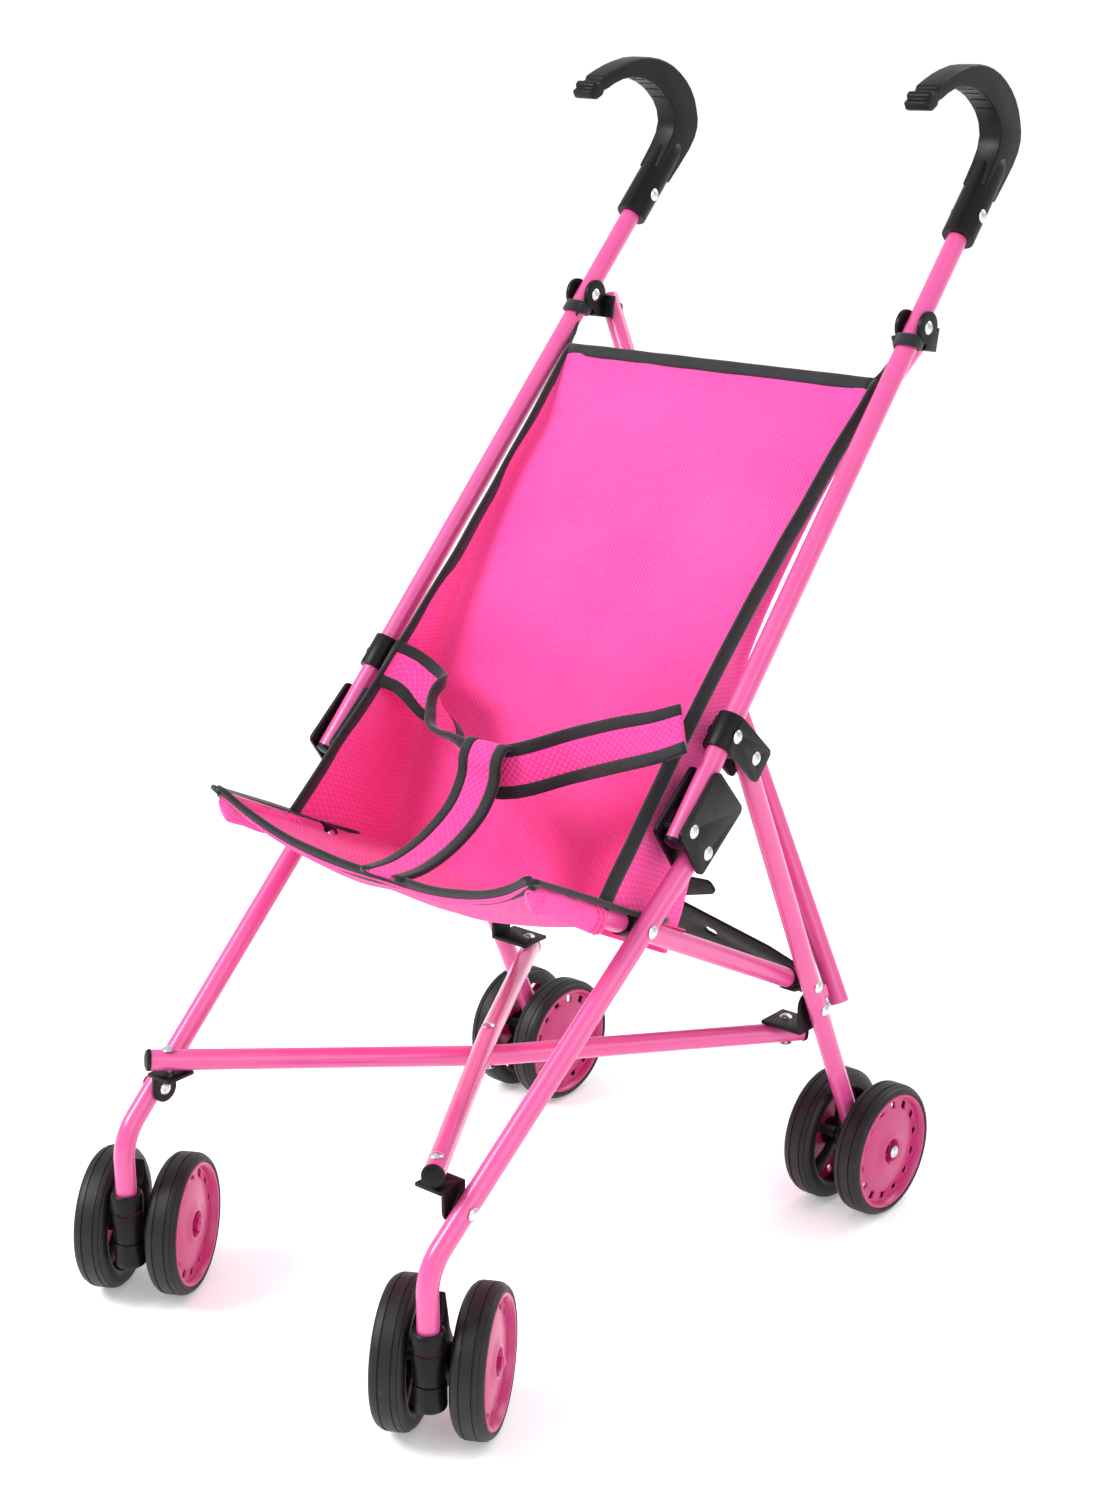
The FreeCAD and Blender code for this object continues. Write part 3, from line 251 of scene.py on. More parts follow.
def make_black_plastic():
    """Moulded black plastic with a fine spark grain and paler rubbed patches."""
    f = Finish("black_moulding", specular_ior_level=0.22)
    rub = (f.noise(24.0, 4.0) - 0.5).math("MULTIPLY", 3.0, clamp=True)
    f.feed("Base Color", f.blend(rub, shade("050507"), shade("101015")))
    f.feed("Roughness", f.noise(120.0) * 0.18 + 0.33)
    f.bump(f.noise(1600.0, 2.0), 0.00006, 0.5)
    return f.material


def make_tyre():
    """Soft black plastic tyre, a little dusty, with faint turning marks."""
    f = Finish("black_tyre", specular_ior_level=0.4)
    dust = (f.noise(260.0, 5.0) - 0.66).math("MULTIPLY", 9.0, clamp=True)
    f.feed("Base Color", f.blend(dust * 0.5, shade("0A0A0D"), shade("4A4A52")))
    f.feed("Roughness", f.noise(90.0) * 0.2 + 0.4)
    f.bump(f.noise(700.0, 3.0), 0.0001, 0.5)
    return f.material


def make_dish():
    """Glossy deep pink moulding of the wheel dishes, with a faint painted glow: a pink emission
    stands in for light shining through the thin plastic.
    """
    # painted glow: the emission lightens and saturates the dish, most of all in the shaded hollows
    # of the wheel
    f = Finish("pink_dish", coat_weight=0.15, coat_roughness=0.15,
               emission_color=shade("C01850"), emission_strength=0.1)
    f.feed("Base Color", f.blend(f.noise(60.0), shade("A51C5F"), shade("B82A72")))
    f.feed("Roughness", f.noise(150.0) * 0.15 + 0.26)
    f.bump(f.noise(800.0, 2.0), 0.00005, 0.3)
    return f.material


def weave(f, pitch):
    """A plain weave, its threads across and those along, on the piece's own UV map."""
    split = f.tree.nodes.new("ShaderNodeSeparateXYZ")
    f.tree.links.new(f.node("UVMap").out, split.inputs[0])
    u, v = (Socket(f.tree, split.outputs[i]) for i in (0, 1))
    turns = math.pi / pitch
    across, along = (u * turns).math("SINE"), (v * turns).math("SINE")
    return across * along, across, along


def make_fabric(name, dark, light, pitch, depth):
    """Woven polyester: threads, a slow drift of colour and a soft sheen."""
    f = Finish(name, sheen_weight=0.15, sheen_roughness=0.45, specular_ior_level=0.25)
    cross, across, _ = weave(f, pitch)
    drift = f.noise(14.0, 3.0) * 0.55 + f.noise(420.0, 2.0) * 0.25
    thread = cross * 0.22 + drift
    share = thread.math("ADD", 0.0, clamp=True)
    f.feed("Base Color", f.blend(share, shade(dark), shade(light)))
    f.feed("Roughness", 0.72 - cross * 0.1)
    f.bump(cross + abs(across) * 0.3, depth, 0.55)
    return f.material


def make_tape():
    """Black folded binding tape with a fine cross rib."""
    f = Finish("black_binding", sheen_weight=0.25, specular_ior_level=0.3)
    cross, _, along = weave(f, 0.0007)
    f.feed("Base Color", f.blend(f.noise(300.0), shade("08080B"), shade("17161C")))
    f.feed("Roughness", f.noise(200.0) * 0.15 + 0.62)
    f.bump(along * 0.6 + cross * 0.4, 0.00012, 0.6)
    return f.material


ENAMEL, STEEL, BLACK, TYRE, DISH = (make() for make in (
    make_enamel, make_steel, make_black_plastic, make_tyre, make_dish))
FABRIC = make_fabric("pink_fabric", "F23290", "FF66B4", 0.0011, 0.0003)
WEBBING = make_fabric("pink_webbing", "EA2A88", "FF58AC", 0.0017, 0.0005)
TAPE = make_tape()


# ---------------------------------------------------------------- modelling helpers

MERGE, CAD_MERGE = 1e-6, 2e-6       # corners nearer than this are one, in metres
SMOOTH, SMOOTH_CUT = math.radians(35), math.radians(40)
CUT_EDGE, FITTING_EDGE = math.radians(32), math.radians(30)
FITTING_ROUNDING = 0.35 * MM
FLAT_ENOUGH = math.radians(1.0)
STRAP_SQUARENESS = 0.55             # 1 gives a round section, 0 a square one


def own(obj, name, finish, body, replaces=()):
    """Name a finished piece, give it its finish and slot, and let it ride a body."""
    obj.name = name
    obj.data.name = name
    obj.data.materials.clear()
    obj.data.materials.append(finish)
    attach(obj, body)
    if replaces:
        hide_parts(*replaces)
    return obj


def settle(obj):
    """Apply every modifier of a piece."""
    only(obj)
    for modifier in list(obj.modifiers):
        bpy.ops.object.modifier_apply(modifier=modifier.name)


def only(obj):
    """Select one piece alone and make it the active one."""
    bpy.ops.object.select_all(action="DESELECT")
    obj.select_set(True)
    bpy.context.view_layer.objects.active = obj


def editing(obj):
    """Open one piece in edit mode."""
    only(obj)
    bpy.ops.object.mode_set(mode="EDIT")


def done(obj):
    """Leave edit mode with merged corners, outward faces and smooth shading."""
    bpy.ops.mesh.select_all(action="SELECT")
    bpy.ops.mesh.remove_doubles(threshold=MERGE)
    bpy.ops.mesh.normals_make_consistent(inside=False)
    bpy.ops.object.mode_set(mode="OBJECT")
    only(obj)
    bpy.ops.object.shade_smooth_by_angle(angle=SMOOTH)
    return obj


def drawn(points):
    """A line drawn by extruding a corner from point to point; it stays in edit mode."""
    bpy.ops.mesh.primitive_plane_add(size=0.001)
    obj = bpy.context.object
    bpy.ops.object.mode_set(mode="EDIT")
    bpy.ops.mesh.select_mode(type="VERT")
    bpy.ops.mesh.select_all(action="SELECT")
    bpy.ops.mesh.merge(type="CENTER")
    bpy.ops.transform.translate(value=points[0])
    for a, b in zip(points, points[1:]):
        bpy.ops.mesh.extrude_region_move(TRANSFORM_OT_translate={"value": b - a})
    return obj


def turned(outline, steps, closed=True):
    """A piece turned round Z from its outline of (radius, height) in millimetres."""
    points = [Vector((r * MM, 0, z * MM)) for r, z in outline]
    obj = drawn(points + ([points[0]] if closed else []))
    bpy.ops.mesh.select_all(action="SELECT")
    bpy.ops.mesh.spin(steps=steps, angle=2 * math.pi, center=(0, 0, 0), axis=(0, 0, 1))
    return done(obj)


def cut_out(outline, thickness, rounding, segments=2):
    """A flat piece: an outline in its own XY plane in millimetres, with rounded edges."""
    points = [Vector((x * MM, y * MM, 0)) for x, y in outline]
    obj = drawn(points + [points[0]])
    bpy.ops.mesh.select_all(action="SELECT")
    bpy.ops.mesh.remove_doubles(threshold=MERGE)
    bpy.ops.mesh.select_all(action="SELECT")
    bpy.ops.mesh.edge_face_add()
    bpy.ops.mesh.extrude_region_move(TRANSFORM_OT_translate={"value": (0, 0, thickness * MM)})
    bpy.ops.mesh.select_all(action="SELECT")
    bpy.ops.mesh.normals_make_consistent(inside=False)
    bpy.ops.object.mode_set(mode="OBJECT")
    modifier = obj.modifiers.new("rounding", "BEVEL")
    modifier.width = rounding * MM
    modifier.segments = segments
    modifier.limit_method = "ANGLE"
    modifier.angle_limit = CUT_EDGE
    settle(obj)
    bpy.ops.object.shade_smooth_by_angle(angle=SMOOTH_CUT)
    return obj


def moved(obj, matrix):
    """Put the piece's mesh in place and leave its object at the origin."""
    obj.data.transform(matrix @ obj.matrix_world)
    obj.matrix_world = Matrix.Identity(4)
    if matrix.determinant() < 0:
        obj.data.flip_normals()
    return obj


def copied(obj, matrix):
    """A copy with its own mesh, put in place."""
    twin = obj.copy()
    twin.data = obj.data.copy()
    bpy.context.scene.collection.objects.link(twin)
    return moved(twin, matrix)


def axes(origin, x, y, z):
    """The matrix that stands a piece's own axes along three directions."""
    turn = Matrix((Vector(x).normalized(), Vector(y).normalized(),
                   Vector(z).normalized())).transposed().to_4x4()
    return Matrix.Translation(origin) @ turn


def dressed(name, finish):
    """A detailed twin of a CAD node: its corners merged and its sharp edges broken."""
    source = frame["nodes"][name]
    obj = source.copy()
    obj.data = source.data.copy()
    obj.parent = None
    for word in list(obj.keys()):
        del obj[word]
    bpy.context.scene.collection.objects.link(obj)
    editing(obj)
    bpy.ops.mesh.select_all(action="SELECT")
    bpy.ops.mesh.remove_doubles(threshold=CAD_MERGE)
    bpy.ops.mesh.select_all(action="SELECT")
    bpy.ops.mesh.dissolve_limited(angle_limit=FLAT_ENOUGH)
    bpy.ops.object.mode_set(mode="OBJECT")
    modifier = obj.modifiers.new("rounding", "BEVEL")
    modifier.width = FITTING_ROUNDING
    modifier.segments = 2
    modifier.limit_method = "ANGLE"
    modifier.angle_limit = FITTING_EDGE
    modifier.use_clamp_overlap = True
    settle(obj)
    bpy.ops.object.shade_smooth_by_angle(angle=SMOOTH_CUT)
    own(obj, name + "_moulded", finish, source["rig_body"], [name])


def joined(parts):
    """Several shells as one piece."""
    bpy.ops.object.select_all(action="DESELECT")
    for part in parts:
        part.select_set(True)
    bpy.context.view_layer.objects.active = parts[0]
    bpy.ops.object.join()
    return parts[0]


def cloth(name, rows, finish, thickness, closed=False):
    """A fabric surface through rows of points, with a UV map in metres."""
    columns = len(rows[0])
    mesh = bpy.data.meshes.new(name)
    wide = columns if closed else columns - 1
    faces = [(i * columns + j, i * columns + (j + 1) % columns,
              (i + 1) * columns + (j + 1) % columns, (i + 1) * columns + j)
             for i in range(len(rows) - 1) for j in range(wide)]
    mesh.from_pydata([p for row in rows for p in row], [], faces)
    obj = bpy.data.objects.new(name, mesh)
    bpy.context.scene.collection.objects.link(obj)
    down, across = [0.0], [0.0]
    middle = columns // 2
    for a, b in zip(rows, rows[1:]):
        down.append(down[-1] + (b[middle] - a[middle]).length)
    line = rows[len(rows) // 2]
    for j in range(wide):
        across.append(across[-1] + (line[(j + 1) % columns] - line[j]).length)
    layer = mesh.uv_layers.new(name="weave")
    corners = [(i + di, j + dj) for i in range(len(rows) - 1) for j in range(wide)
               for di, dj in ((0, 0), (0, 1), (1, 1), (1, 0))]
    for corner, (i, j) in zip(layer.data, corners):
        corner.uv = (across[j], down[i])
    for polygon in mesh.polygons:
        polygon.use_smooth = True
    if thickness:
        modifier = obj.modifiers.new("thickness", "SOLIDIFY")
        modifier.thickness = thickness
        modifier.offset = 0.0
    mesh.materials.append(finish)
    return obj


def smooth_line(points, count):
    """Points evenly spaced along a soft line through the given ones."""
    result = []
    spans = len(points) - 1
    for i in range(count):
        t = i / (count - 1) * spans
        k = min(int(t), spans - 1)
        f = t - k
        p0 = points[max(k - 1, 0)]
        p1, p2 = points[k], points[k + 1]
        p3 = points[min(k + 2, spans)]
        result.append(0.5 * ((2 * p1) + (p2 - p0) * f + (2 * p0 - 5 * p1 + 4 * p2 - p3) * f * f
                             + (3 * p1 - p0 - 3 * p2 + p3) * f ** 3))
    return result


def square_side(path, i, flat):
    """The directions across and out of a strap at one point of its path."""
    ahead = (path[min(i + 1, len(path) - 1)] - path[max(i - 1, 0)]).normalized()
    side = flat(i) if callable(flat) else Vector(flat)
    side = (side - ahead * side.dot(ahead)).normalized()
    return side, ahead.cross(side)


def band(name, path, flat, wide, thick, finish, closed_ends=True, corners=10):
    """A flat strap along a path; flat gives the direction across its width at each point."""
    rows = []
    for i, point in enumerate(path):
        side, up = square_side(path, i, flat)
        row = []
        for j in range(corners):
            a = 2 * math.pi * j / corners
            c, s = math.cos(a), math.sin(a)
            row.append(point
                       + side * (wide / 2 * math.copysign(abs(c) ** STRAP_SQUARENESS, c))
                       + up * (thick / 2 * math.copysign(abs(s) ** STRAP_SQUARENESS, s)))
        rows.append(row)
    obj = cloth(name, rows, finish, thickness=0, closed=True)
    if closed_ends:
        editing(obj)
        bpy.ops.mesh.select_all(action="SELECT")
        bpy.ops.mesh.region_to_loop()
        bpy.ops.mesh.edge_face_add()
        bpy.ops.mesh.select_all(action="SELECT")
        bpy.ops.mesh.normals_make_consistent(inside=False)
        bpy.ops.object.mode_set(mode="OBJECT")
    return obj


# ---------------------------------------------------------------- frame and fittings

for name, item in frame["nodes"].items():
    if "front_axle" in name:
        finish = DISH
    elif "rivet" in name or "axle" in name:
        finish = STEEL
    elif any(word in name for word in ("tube", "front_leg", "rear_leg", "rail_r", "rail_l",
                                       "rear_cross")):
        finish = ENAMEL
    elif "dish" in name:
        finish = DISH
    elif "seat" in name:
        finish = FABRIC
    else:
        finish = BLACK
    item.data.materials.clear()
    item.data.materials.append(finish)

for name in frame["nodes"]:
    if name.startswith(("clamp", "hinge_plate", "bracket", "top_bracket", "strut_link",
                        "rail_fittings")):
        dressed(name, BLACK)


# ---------------------------------------------------------------- wheels

TYRE_OUTLINE = [(28.7, 6.4), (29.2, 7.2), (29.8, 7.6), (30.8, 7.3), (31.7, 6.5), (32.0, 5.6),
                (32.1, 5.2), (32.6, 5.0), (32.9, 3.9), (33.0, 3.2), (32.55, 3.0), (32.55, 2.5),
                (33.0, 2.3), (33.0, -2.3), (32.55, -2.5), (32.55, -3.0), (33.0, -3.2),
                (32.9, -3.9), (32.6, -5.0), (32.1, -5.2), (32.0, -5.6), (31.2, -6.6),
                (29.6, -7.6), (27.6, -7.8), (26.0, -7.6), (24.8, -6.8), (24.4, -5.6),
                (24.2, -3.0), (27.6, -2.6), (28.0, 4.0)]
DISH_OUTLINE = [(28.2, 4.0), (28.9, 7.0), (28.3, 7.5), (27.4, 7.3), (26.6, 6.4), (26.0, 4.2),
                (25.2, 4.0), (21.8, 4.4), (20.8, 4.8), (13.0, 5.6), (8.8, 6.2), (7.4, 6.9),
                (6.4, 6.8), (5.8, 6.0), (5.6, 2.6), (3.0, 2.2)]
TYRE_STEPS, HUB_STEPS, COLLAR_STEPS = 72, 32, 40
SPOKES = 6
SPOKE_THICK, SPOKE_BACK = 3.4, -6.0
DISH_HOLES = 14
STEPS_PER_HOLE, STEPS_OPEN = 6, 2       # of every six steps round the dish, two are open
HOLE_INNER, HOLE_OUTER = 21.8, 25.2
DISH_WALL = 1.3


def make_wheel_black():
    """Ribbed tyre, six tapered spokes and a long hub as one moulding."""
    tyre = turned(TYRE_OUTLINE, TYRE_STEPS)
    hub = turned([(2.6, -7.2), (5.0, -7.2), (5.6, -6.6), (6.4, -4.0), (7.0, 1.8), (2.6, 1.8)],
                 HUB_STEPS)
    parts = [tyre, hub]
    for index in range(SPOKES):
        spoke = cut_out([(4.5, -3.2), (13.0, -2.0), (25.2, -2.8), (25.2, 2.8), (13.0, 2.0),
                         (4.5, 3.2)], SPOKE_THICK, 0.5)
        moved(spoke, Matrix.Rotation(2 * math.pi * (index + 0.5) / SPOKES, 4, "Z")
              @ Matrix.Translation((0, 0, SPOKE_BACK * MM)))
        parts.append(spoke)
    return joined(parts)


def make_dish_piece():
    """The coloured dish: a stepped shell with a ring of square holes and a sunken hub."""
    steps = DISH_HOLES * STEPS_PER_HOLE
    dish = turned(DISH_OUTLINE, steps, closed=False)
    editing(dish)
    bpy.ops.mesh.select_all(action="DESELECT")
    bpy.ops.mesh.select_mode(type="FACE")
    edit = bmesh.from_edit_mesh(dish.data)
    for face in edit.faces:
        middle = face.calc_center_median()
        reach = math.hypot(middle.x, middle.y) / MM
        turn = math.degrees(math.atan2(middle.y, middle.x)) % (360 / DISH_HOLES)
        face.select = HOLE_INNER < reach < HOLE_OUTER and turn < STEPS_OPEN * 360 / steps
    bmesh.update_edit_mesh(dish.data)
    bpy.ops.mesh.delete(type="FACE")
    bpy.ops.mesh.select_mode(type="VERT")
    done(dish)
    modifier = dish.modifiers.new("wall", "SOLIDIFY")
    modifier.thickness = DISH_WALL * MM
    modifier.offset = -1.0
    settle(dish)
    cap = turned([(0.01, 5.0), (1.6, 4.9), (2.5, 4.2), (2.9, 3.0), (2.9, 1.0), (0.01, 1.0)], 24)
    return joined([dish, cap])


def add_wheels():
    """One tyre and one dish, copied to each of the eight wheels with the dish outside."""
    black, dish = make_wheel_black(), make_dish_piece()
    for name in sorted(frame["nodes"]):
        if not name.startswith("wheel_"):
            continue
        word = name[len("wheel_"):]
        low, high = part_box(name)
        centre = (low + high) / 2
        low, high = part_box("dish_" + word)
        outward = (low + high) / 2 - centre
        outward.z = 0
        along = outward.normalized()
        stand = axes(centre, Vector((0, 0, 1)).cross(along), (0, 0, 1), along)
        if stand.determinant() < 0:
            stand = axes(centre, along.cross(Vector((0, 0, 1))), (0, 0, 1), along)
        own(copied(black, stand), "tyre_" + word, TYRE, name, [name])
        own(copied(dish, stand), "hubcap_" + word, DISH, name, ["dish_" + word])
    for item in (black, dish):
        bpy.data.objects.remove(item)


add_wheels()


# ---------------------------------------------------------------- grips

LEAN, TAPER = math.radians(46.43), math.radians(1.43)
UP = Vector((0, 0, 1))
BACK = Vector((0, math.sin(LEAN), -math.cos(LEAN)))


def handle_axis(side):
    """The way that a handle tube points, up and back."""
    return Vector((-side * math.sin(TAPER), math.cos(TAPER) * math.cos(LEAN),
                   math.cos(TAPER) * math.sin(LEAN)))


def on_handle(side, along):
    """A point on a handle tube's axis, in millimetres along it from its low end."""
    return at(side * 105.3, -HANDLE_FOOT, 232.2) + handle_axis(side) * along * MM


HOOK = [(350.0, 6.6), (362.0, 7.4), (373.0, 7.8), (380.5, 7.0), (385.5, 5.0), (389.0, 2.0),
        (391.6, -2.0), (394.2, -7.0), (395.8, -13.0), (396.2, -19.0), (395.6, -25.5),
        (394.2, -32.0), (391.8, -38.0), (388.8, -43.5), (384.8, -49.0), (379.0, -54.8),
        (372.0, -60.0), (366.0, -63.8), (360.0, -67.0), (354.0, -69.8), (352.0, -69.2),
        (349.0, -70.4), (348.2, -73.0), (345.4, -73.2), (344.6, -71.6), (341.6, -72.6),
        (340.4, -69.0), (342.4, -66.0), (347.0, -64.2), (349.0, -65.0), (352.0, -63.2),
        (357.0, -61.0), (363.0, -57.4), (367.4, -53.6), (371.2, -49.2), (374.4, -44.4),
        (377.0, -39.0), (379.0, -33.0), (379.8, -27.0), (379.9, -21.5), (378.6, -16.0),
        (375.4, -11.2), (370.0, -8.4), (362.0, -7.2), (350.0, -6.6)]
HOOK_THICK = 12.4
HOOK_MIDDLE = (352.0, -27.0)        # the ribs point away from here
RIBS = [(371.8, -48.6), (375.2, -43.0), (377.8, -37.0), (379.4, -30.6), (379.8, -24.0)]


def add_grip(side, word):
    """A hooked grip: a flat-sided hook with rounded edges on a round socket."""
    axis = handle_axis(side)
    inward = axis.cross(BACK).normalized()
    hook = cut_out(HOOK, HOOK_THICK, 2.2, 4)
    moved(hook, Matrix.Translation((0, 0, -HOOK_THICK / 2 * MM)))
    socket = turned([(5.0, 323.2), (7.4, 323.2), (7.9, 323.7), (7.9, 345.0), (7.7, 356.0),
                     (7.5, 364.0), (6.6, 369.0), (4.0, 372.0), (0.01, 372.6), (0.01, 350.0),
                     (5.0, 350.0)], COLLAR_STEPS)
    moved(socket, Matrix(((0, 0, 1, 0), (1, 0, 0, 0), (0, 1, 0, 0), (0, 0, 0, 1))))
    parts = [hook, socket]
    for along, back in RIBS:
        rib = cut_out([(-0.35, -4.2), (0.35, -4.2), (0.35, 4.2), (-0.35, 4.2)], 0.8, 0.2)
        lean = math.atan2(along - HOOK_MIDDLE[0], back - HOOK_MIDDLE[1])
        moved(rib, Matrix.Translation((along * MM, back * MM, 0))
              @ Matrix.Rotation(math.pi / 2 - lean, 4, "Z") @ Matrix.Rotation(math.pi / 2, 4, "X"))
        parts.append(rib)
    grip = joined(parts)
    moved(grip, axes(on_handle(side, 0.0), axis, BACK, inward))
    own(grip, "grip_hook_" + word, BLACK, "handle_" + word, ["grip_" + word])


for word, side in SIDES.items():
    add_grip(side, word)


# ---------------------------------------------------------------- casters

TURN = math.radians(28.0)
TRAIL = Vector((-math.sin(TURN), math.cos(TURN), 0))
AXLE_BEHIND, AXLE_HEIGHT = 23.7, 33.0
SPINE_THICK = 8.0


def add_caster(side, word):
    """Two stacked collars round the leg's foot, a spine behind and a boss on the axle."""
    foot = at(side * 93.8, -164.2, 0)
    collar = turned([(5.0, 50.4), (6.4, 50.4), (7.3, 51.0), (7.4, 57.4), (6.9, 58.8),
                     (6.2, 59.3), (5.0, 58.9)], COLLAR_STEPS)
    knuckle = turned([(5.0, 35.7), (6.9, 35.9), (7.2, 36.5), (7.2, 49.2), (6.9, 49.9),
                      (5.0, 50.1)], COLLAR_STEPS)
    bottom = turned([(0.01, 23.0), (6.0, 23.0), (6.9, 23.6), (7.3, 24.6), (7.4, 34.6),
                     (6.9, 35.3), (0.01, 35.3)], COLLAR_STEPS)
    for part in (collar, knuckle, bottom):
        moved(part, Matrix.Translation(foot))
    spine = cut_out([(5.6, 23.2), (22.0, 24.6), (27.6, 30.0), (28.4, 36.0), (25.0, 42.0),
                     (20.0, 50.0), (17.0, 60.5), (14.4, 69.0), (12.8, 70.0), (12.0, 62.0),
                     (10.4, 59.0), (5.6, 59.0), (5.6, 50.4), (8.4, 50.2), (8.4, 35.7),
                     (5.6, 35.4)], SPINE_THICK, 0.8)
    moved(spine, Matrix.Translation((0, 0, -SPINE_THICK / 2 * MM)))
    moved(spine, axes(foot, TRAIL, UP, TRAIL.cross(UP)))
    boss = turned([(2.4, -8.2), (5.6, -8.2), (6.4, -7.4), (6.4, 7.4), (5.6, 8.2), (2.4, 8.2)],
                  HUB_STEPS)
    hub = foot + TRAIL * AXLE_BEHIND * MM + UP * AXLE_HEIGHT * MM
    moved(boss, axes(hub, TRAIL, UP, TRAIL.cross(UP)))
    own(knuckle, "knuckle_" + word, BLACK, "front_leg_" + word)
    fork = joined([collar, bottom, spine, boss])
    own(fork, "fork_" + word, BLACK, "caster_" + word, ["caster_" + word])


for word, side in SIDES.items():
    add_caster(side, word)


# ---------------------------------------------------------------- seat cloth

FOLD = [(150.0, 407.0), (137.0, 388.0), (125.0, 371.0), (106.0, 352.0), (87.0, 331.0),
        (68.0, 309.0), (55.0, 290.0), (47.0, 272.0), (38.0, 252.0), (27.0, 225.0),
        (18.0, 202.0), (10.0, 182.0), (1.0, 170.0)]
WING_LOW = (-52.0, 213.0)
WING_TOP = (150.0, 407.0)
BACK_ROWS, BACK_COLUMNS, WING_COLUMNS = 46, 25, 7
HALF_BACK, HALF_PAN = 89.0, 93.5
CLOTH_THICK, HEM_THICK = 1.1 * MM, 0.7 * MM


def fold_points():
    """The line where the wings turn into the backrest, from top to crease, as (y, z)."""
    line = smooth_line([Vector((0, y, z)) for y, z in FOLD], BACK_ROWS)
    return [(p.y, p.z) for p in line]


def back_point(t, x, y, z):
    """A point of the backrest with its sag and soft folds."""
    middle = 1 - (x / 90.0) ** 2
    sag = 5.0 * middle * math.sin(math.pi * min(t * 1.1, 1.0))
    folds = 4.6 * math.sin(x * 0.11 + 1.5 * t) * max(0.0, t - 0.4) * middle
    soft = 7.0 * noise.noise(Vector((x * 0.022, t * 3.4, 4.0))) * math.sin(math.pi * t)
    return at(x, y + (sag + folds + soft) * 0.8, z - (sag + folds + soft) * 0.45)


def wing_edge(t):
    """How far a wing's bound front edge stands from the middle: it is drawn in half way."""
    return 94.0 - 2.5 * (1 - t) - 5.5 * math.sin(math.pi * t)


def wing_point(side, t, share, y, z):
    """A point of a wing, from its bound front edge (share 0) back to the fold (share 1)."""
    front_y = WING_TOP[0] + (WING_LOW[0] - WING_TOP[0]) * t
    front_z = WING_TOP[1] + (WING_LOW[1] - WING_TOP[1]) * t
    edge = wing_edge(t)
    x = edge + (90.4 - edge) * share ** 3 - math.sin(math.pi * share) * math.sin(math.pi * t)
    x += 1.2 * noise.noise(Vector((share * 2.0, t * 4.0, side * 3.0))) * math.sin(math.pi * share)
    return at(side * x, front_y + (y - front_y) * share, front_z + (z - front_z) * share)


def softened(sheet):
    """Give a sheet its thickness and one step of smoothing, both applied."""
    finer = sheet.modifiers.new("finer", "SUBSURF")
    finer.levels = finer.render_levels = 1
    settle(sheet)


def add_backrest():
    """One sling: a wing, the backrest and the other wing, as a U-shaped sheet."""
    rows = []
    for i, (y, z) in enumerate(fold_points()):
        t = i / (BACK_ROWS - 1)
        row = [wing_point(-1, t, j / WING_COLUMNS, y, z) for j in range(WING_COLUMNS)]
        row += [back_point(t, -HALF_BACK + 2 * HALF_BACK * j / (BACK_COLUMNS - 1), y, z)
                for j in range(BACK_COLUMNS)]
        row += [wing_point(1, t, 1 - (j + 1) / WING_COLUMNS, y, z)
                for j in range(WING_COLUMNS)]
        rows.append(row)
    sheet = cloth("backrest", rows, FABRIC, CLOTH_THICK)
    softened(sheet)
    own(sheet, "backrest", FABRIC, "handle_right", ["seat_back"])
    return sheet


def front_edge(x):
    """The seat's front edge above one place across it."""
    share = min(abs(x) / 92.0, 1.0)
    return Vector((x, -86.0 - 9.0 * share - 3.0 * share ** 8,
                   209.5 + 19.5 * share ** 2.2 + 4.5 * share ** 8))


SEAM = [(-98.0, 234.0), (-84.0, 227.0), (-74.0, 222.0), (-58.0, 213.8), (-34.0, 201.0),
        (-10.0, 190.0), (10.0, 180.0)]
PAN_ROWS, PAN_COLUMNS = 24, 33
PAN_SIDE = smooth_line([Vector((0, y, z)) for y, z in SEAM], PAN_ROWS)
PAN_FRONT, CREASE_Y, CREASE_Z = 209.5, 10.0, 176.0


def pan_point(v, x):
    """A point of the seat, from its front edge (v 0) to the crease (v 1)."""
    edge = front_edge(x)
    if v == 0:
        return at(x, edge.y, edge.z)
    side = PAN_SIDE[round(v * (PAN_ROWS - 1))]
    share = min(abs(x) / HALF_PAN, 1.0) ** 2.6
    sag = 7.0 * math.sin(math.pi * v)
    middle = Vector((x, edge.y + (CREASE_Y - edge.y) * v,
                     PAN_FRONT + (CREASE_Z - PAN_FRONT) * v ** 0.8 - sag))
    level = middle.z + (side.z - middle.z) * share
    y = middle.y + (side.y - middle.y) * share
    soft = 2.4 * noise.noise(Vector((x * 0.025, v * 2.5, 9.0))) * math.sin(math.pi * v)
    pleat = 1.8 * math.sin(abs(x) * 0.16 - 5.0 * v) * (1 - share) * math.sin(math.pi * v)
    return at(x, y, level + soft + pleat * 0.6)


def add_pan():
    """The seat: a sheet that sags between the rails and ends in the crease."""
    rows = [[pan_point(i / (PAN_ROWS - 1), -HALF_PAN + 2 * HALF_PAN * j / (PAN_COLUMNS - 1))
             for j in range(PAN_COLUMNS)] for i in range(PAN_ROWS)]
    sheet = cloth("seat_pan", rows, FABRIC, CLOTH_THICK)
    softened(sheet)
    own(sheet, "seat_pan", FABRIC, "rail_right", ["seat_panel"])
    return sheet


backrest = add_backrest()
pan = add_pan()


# ---------------------------------------------------------------- bindings

TAPE_WIDE, TAPE_THICK = 7.0 * MM, 2.6 * MM
WING_TAPE_WIDE = TAPE_WIDE * 1.12
TAPE_POINTS, SEAM_POINTS, FRONT_POINTS = 40, 24, 60
WING_TAPE_INSET = 2.6 * 0.7


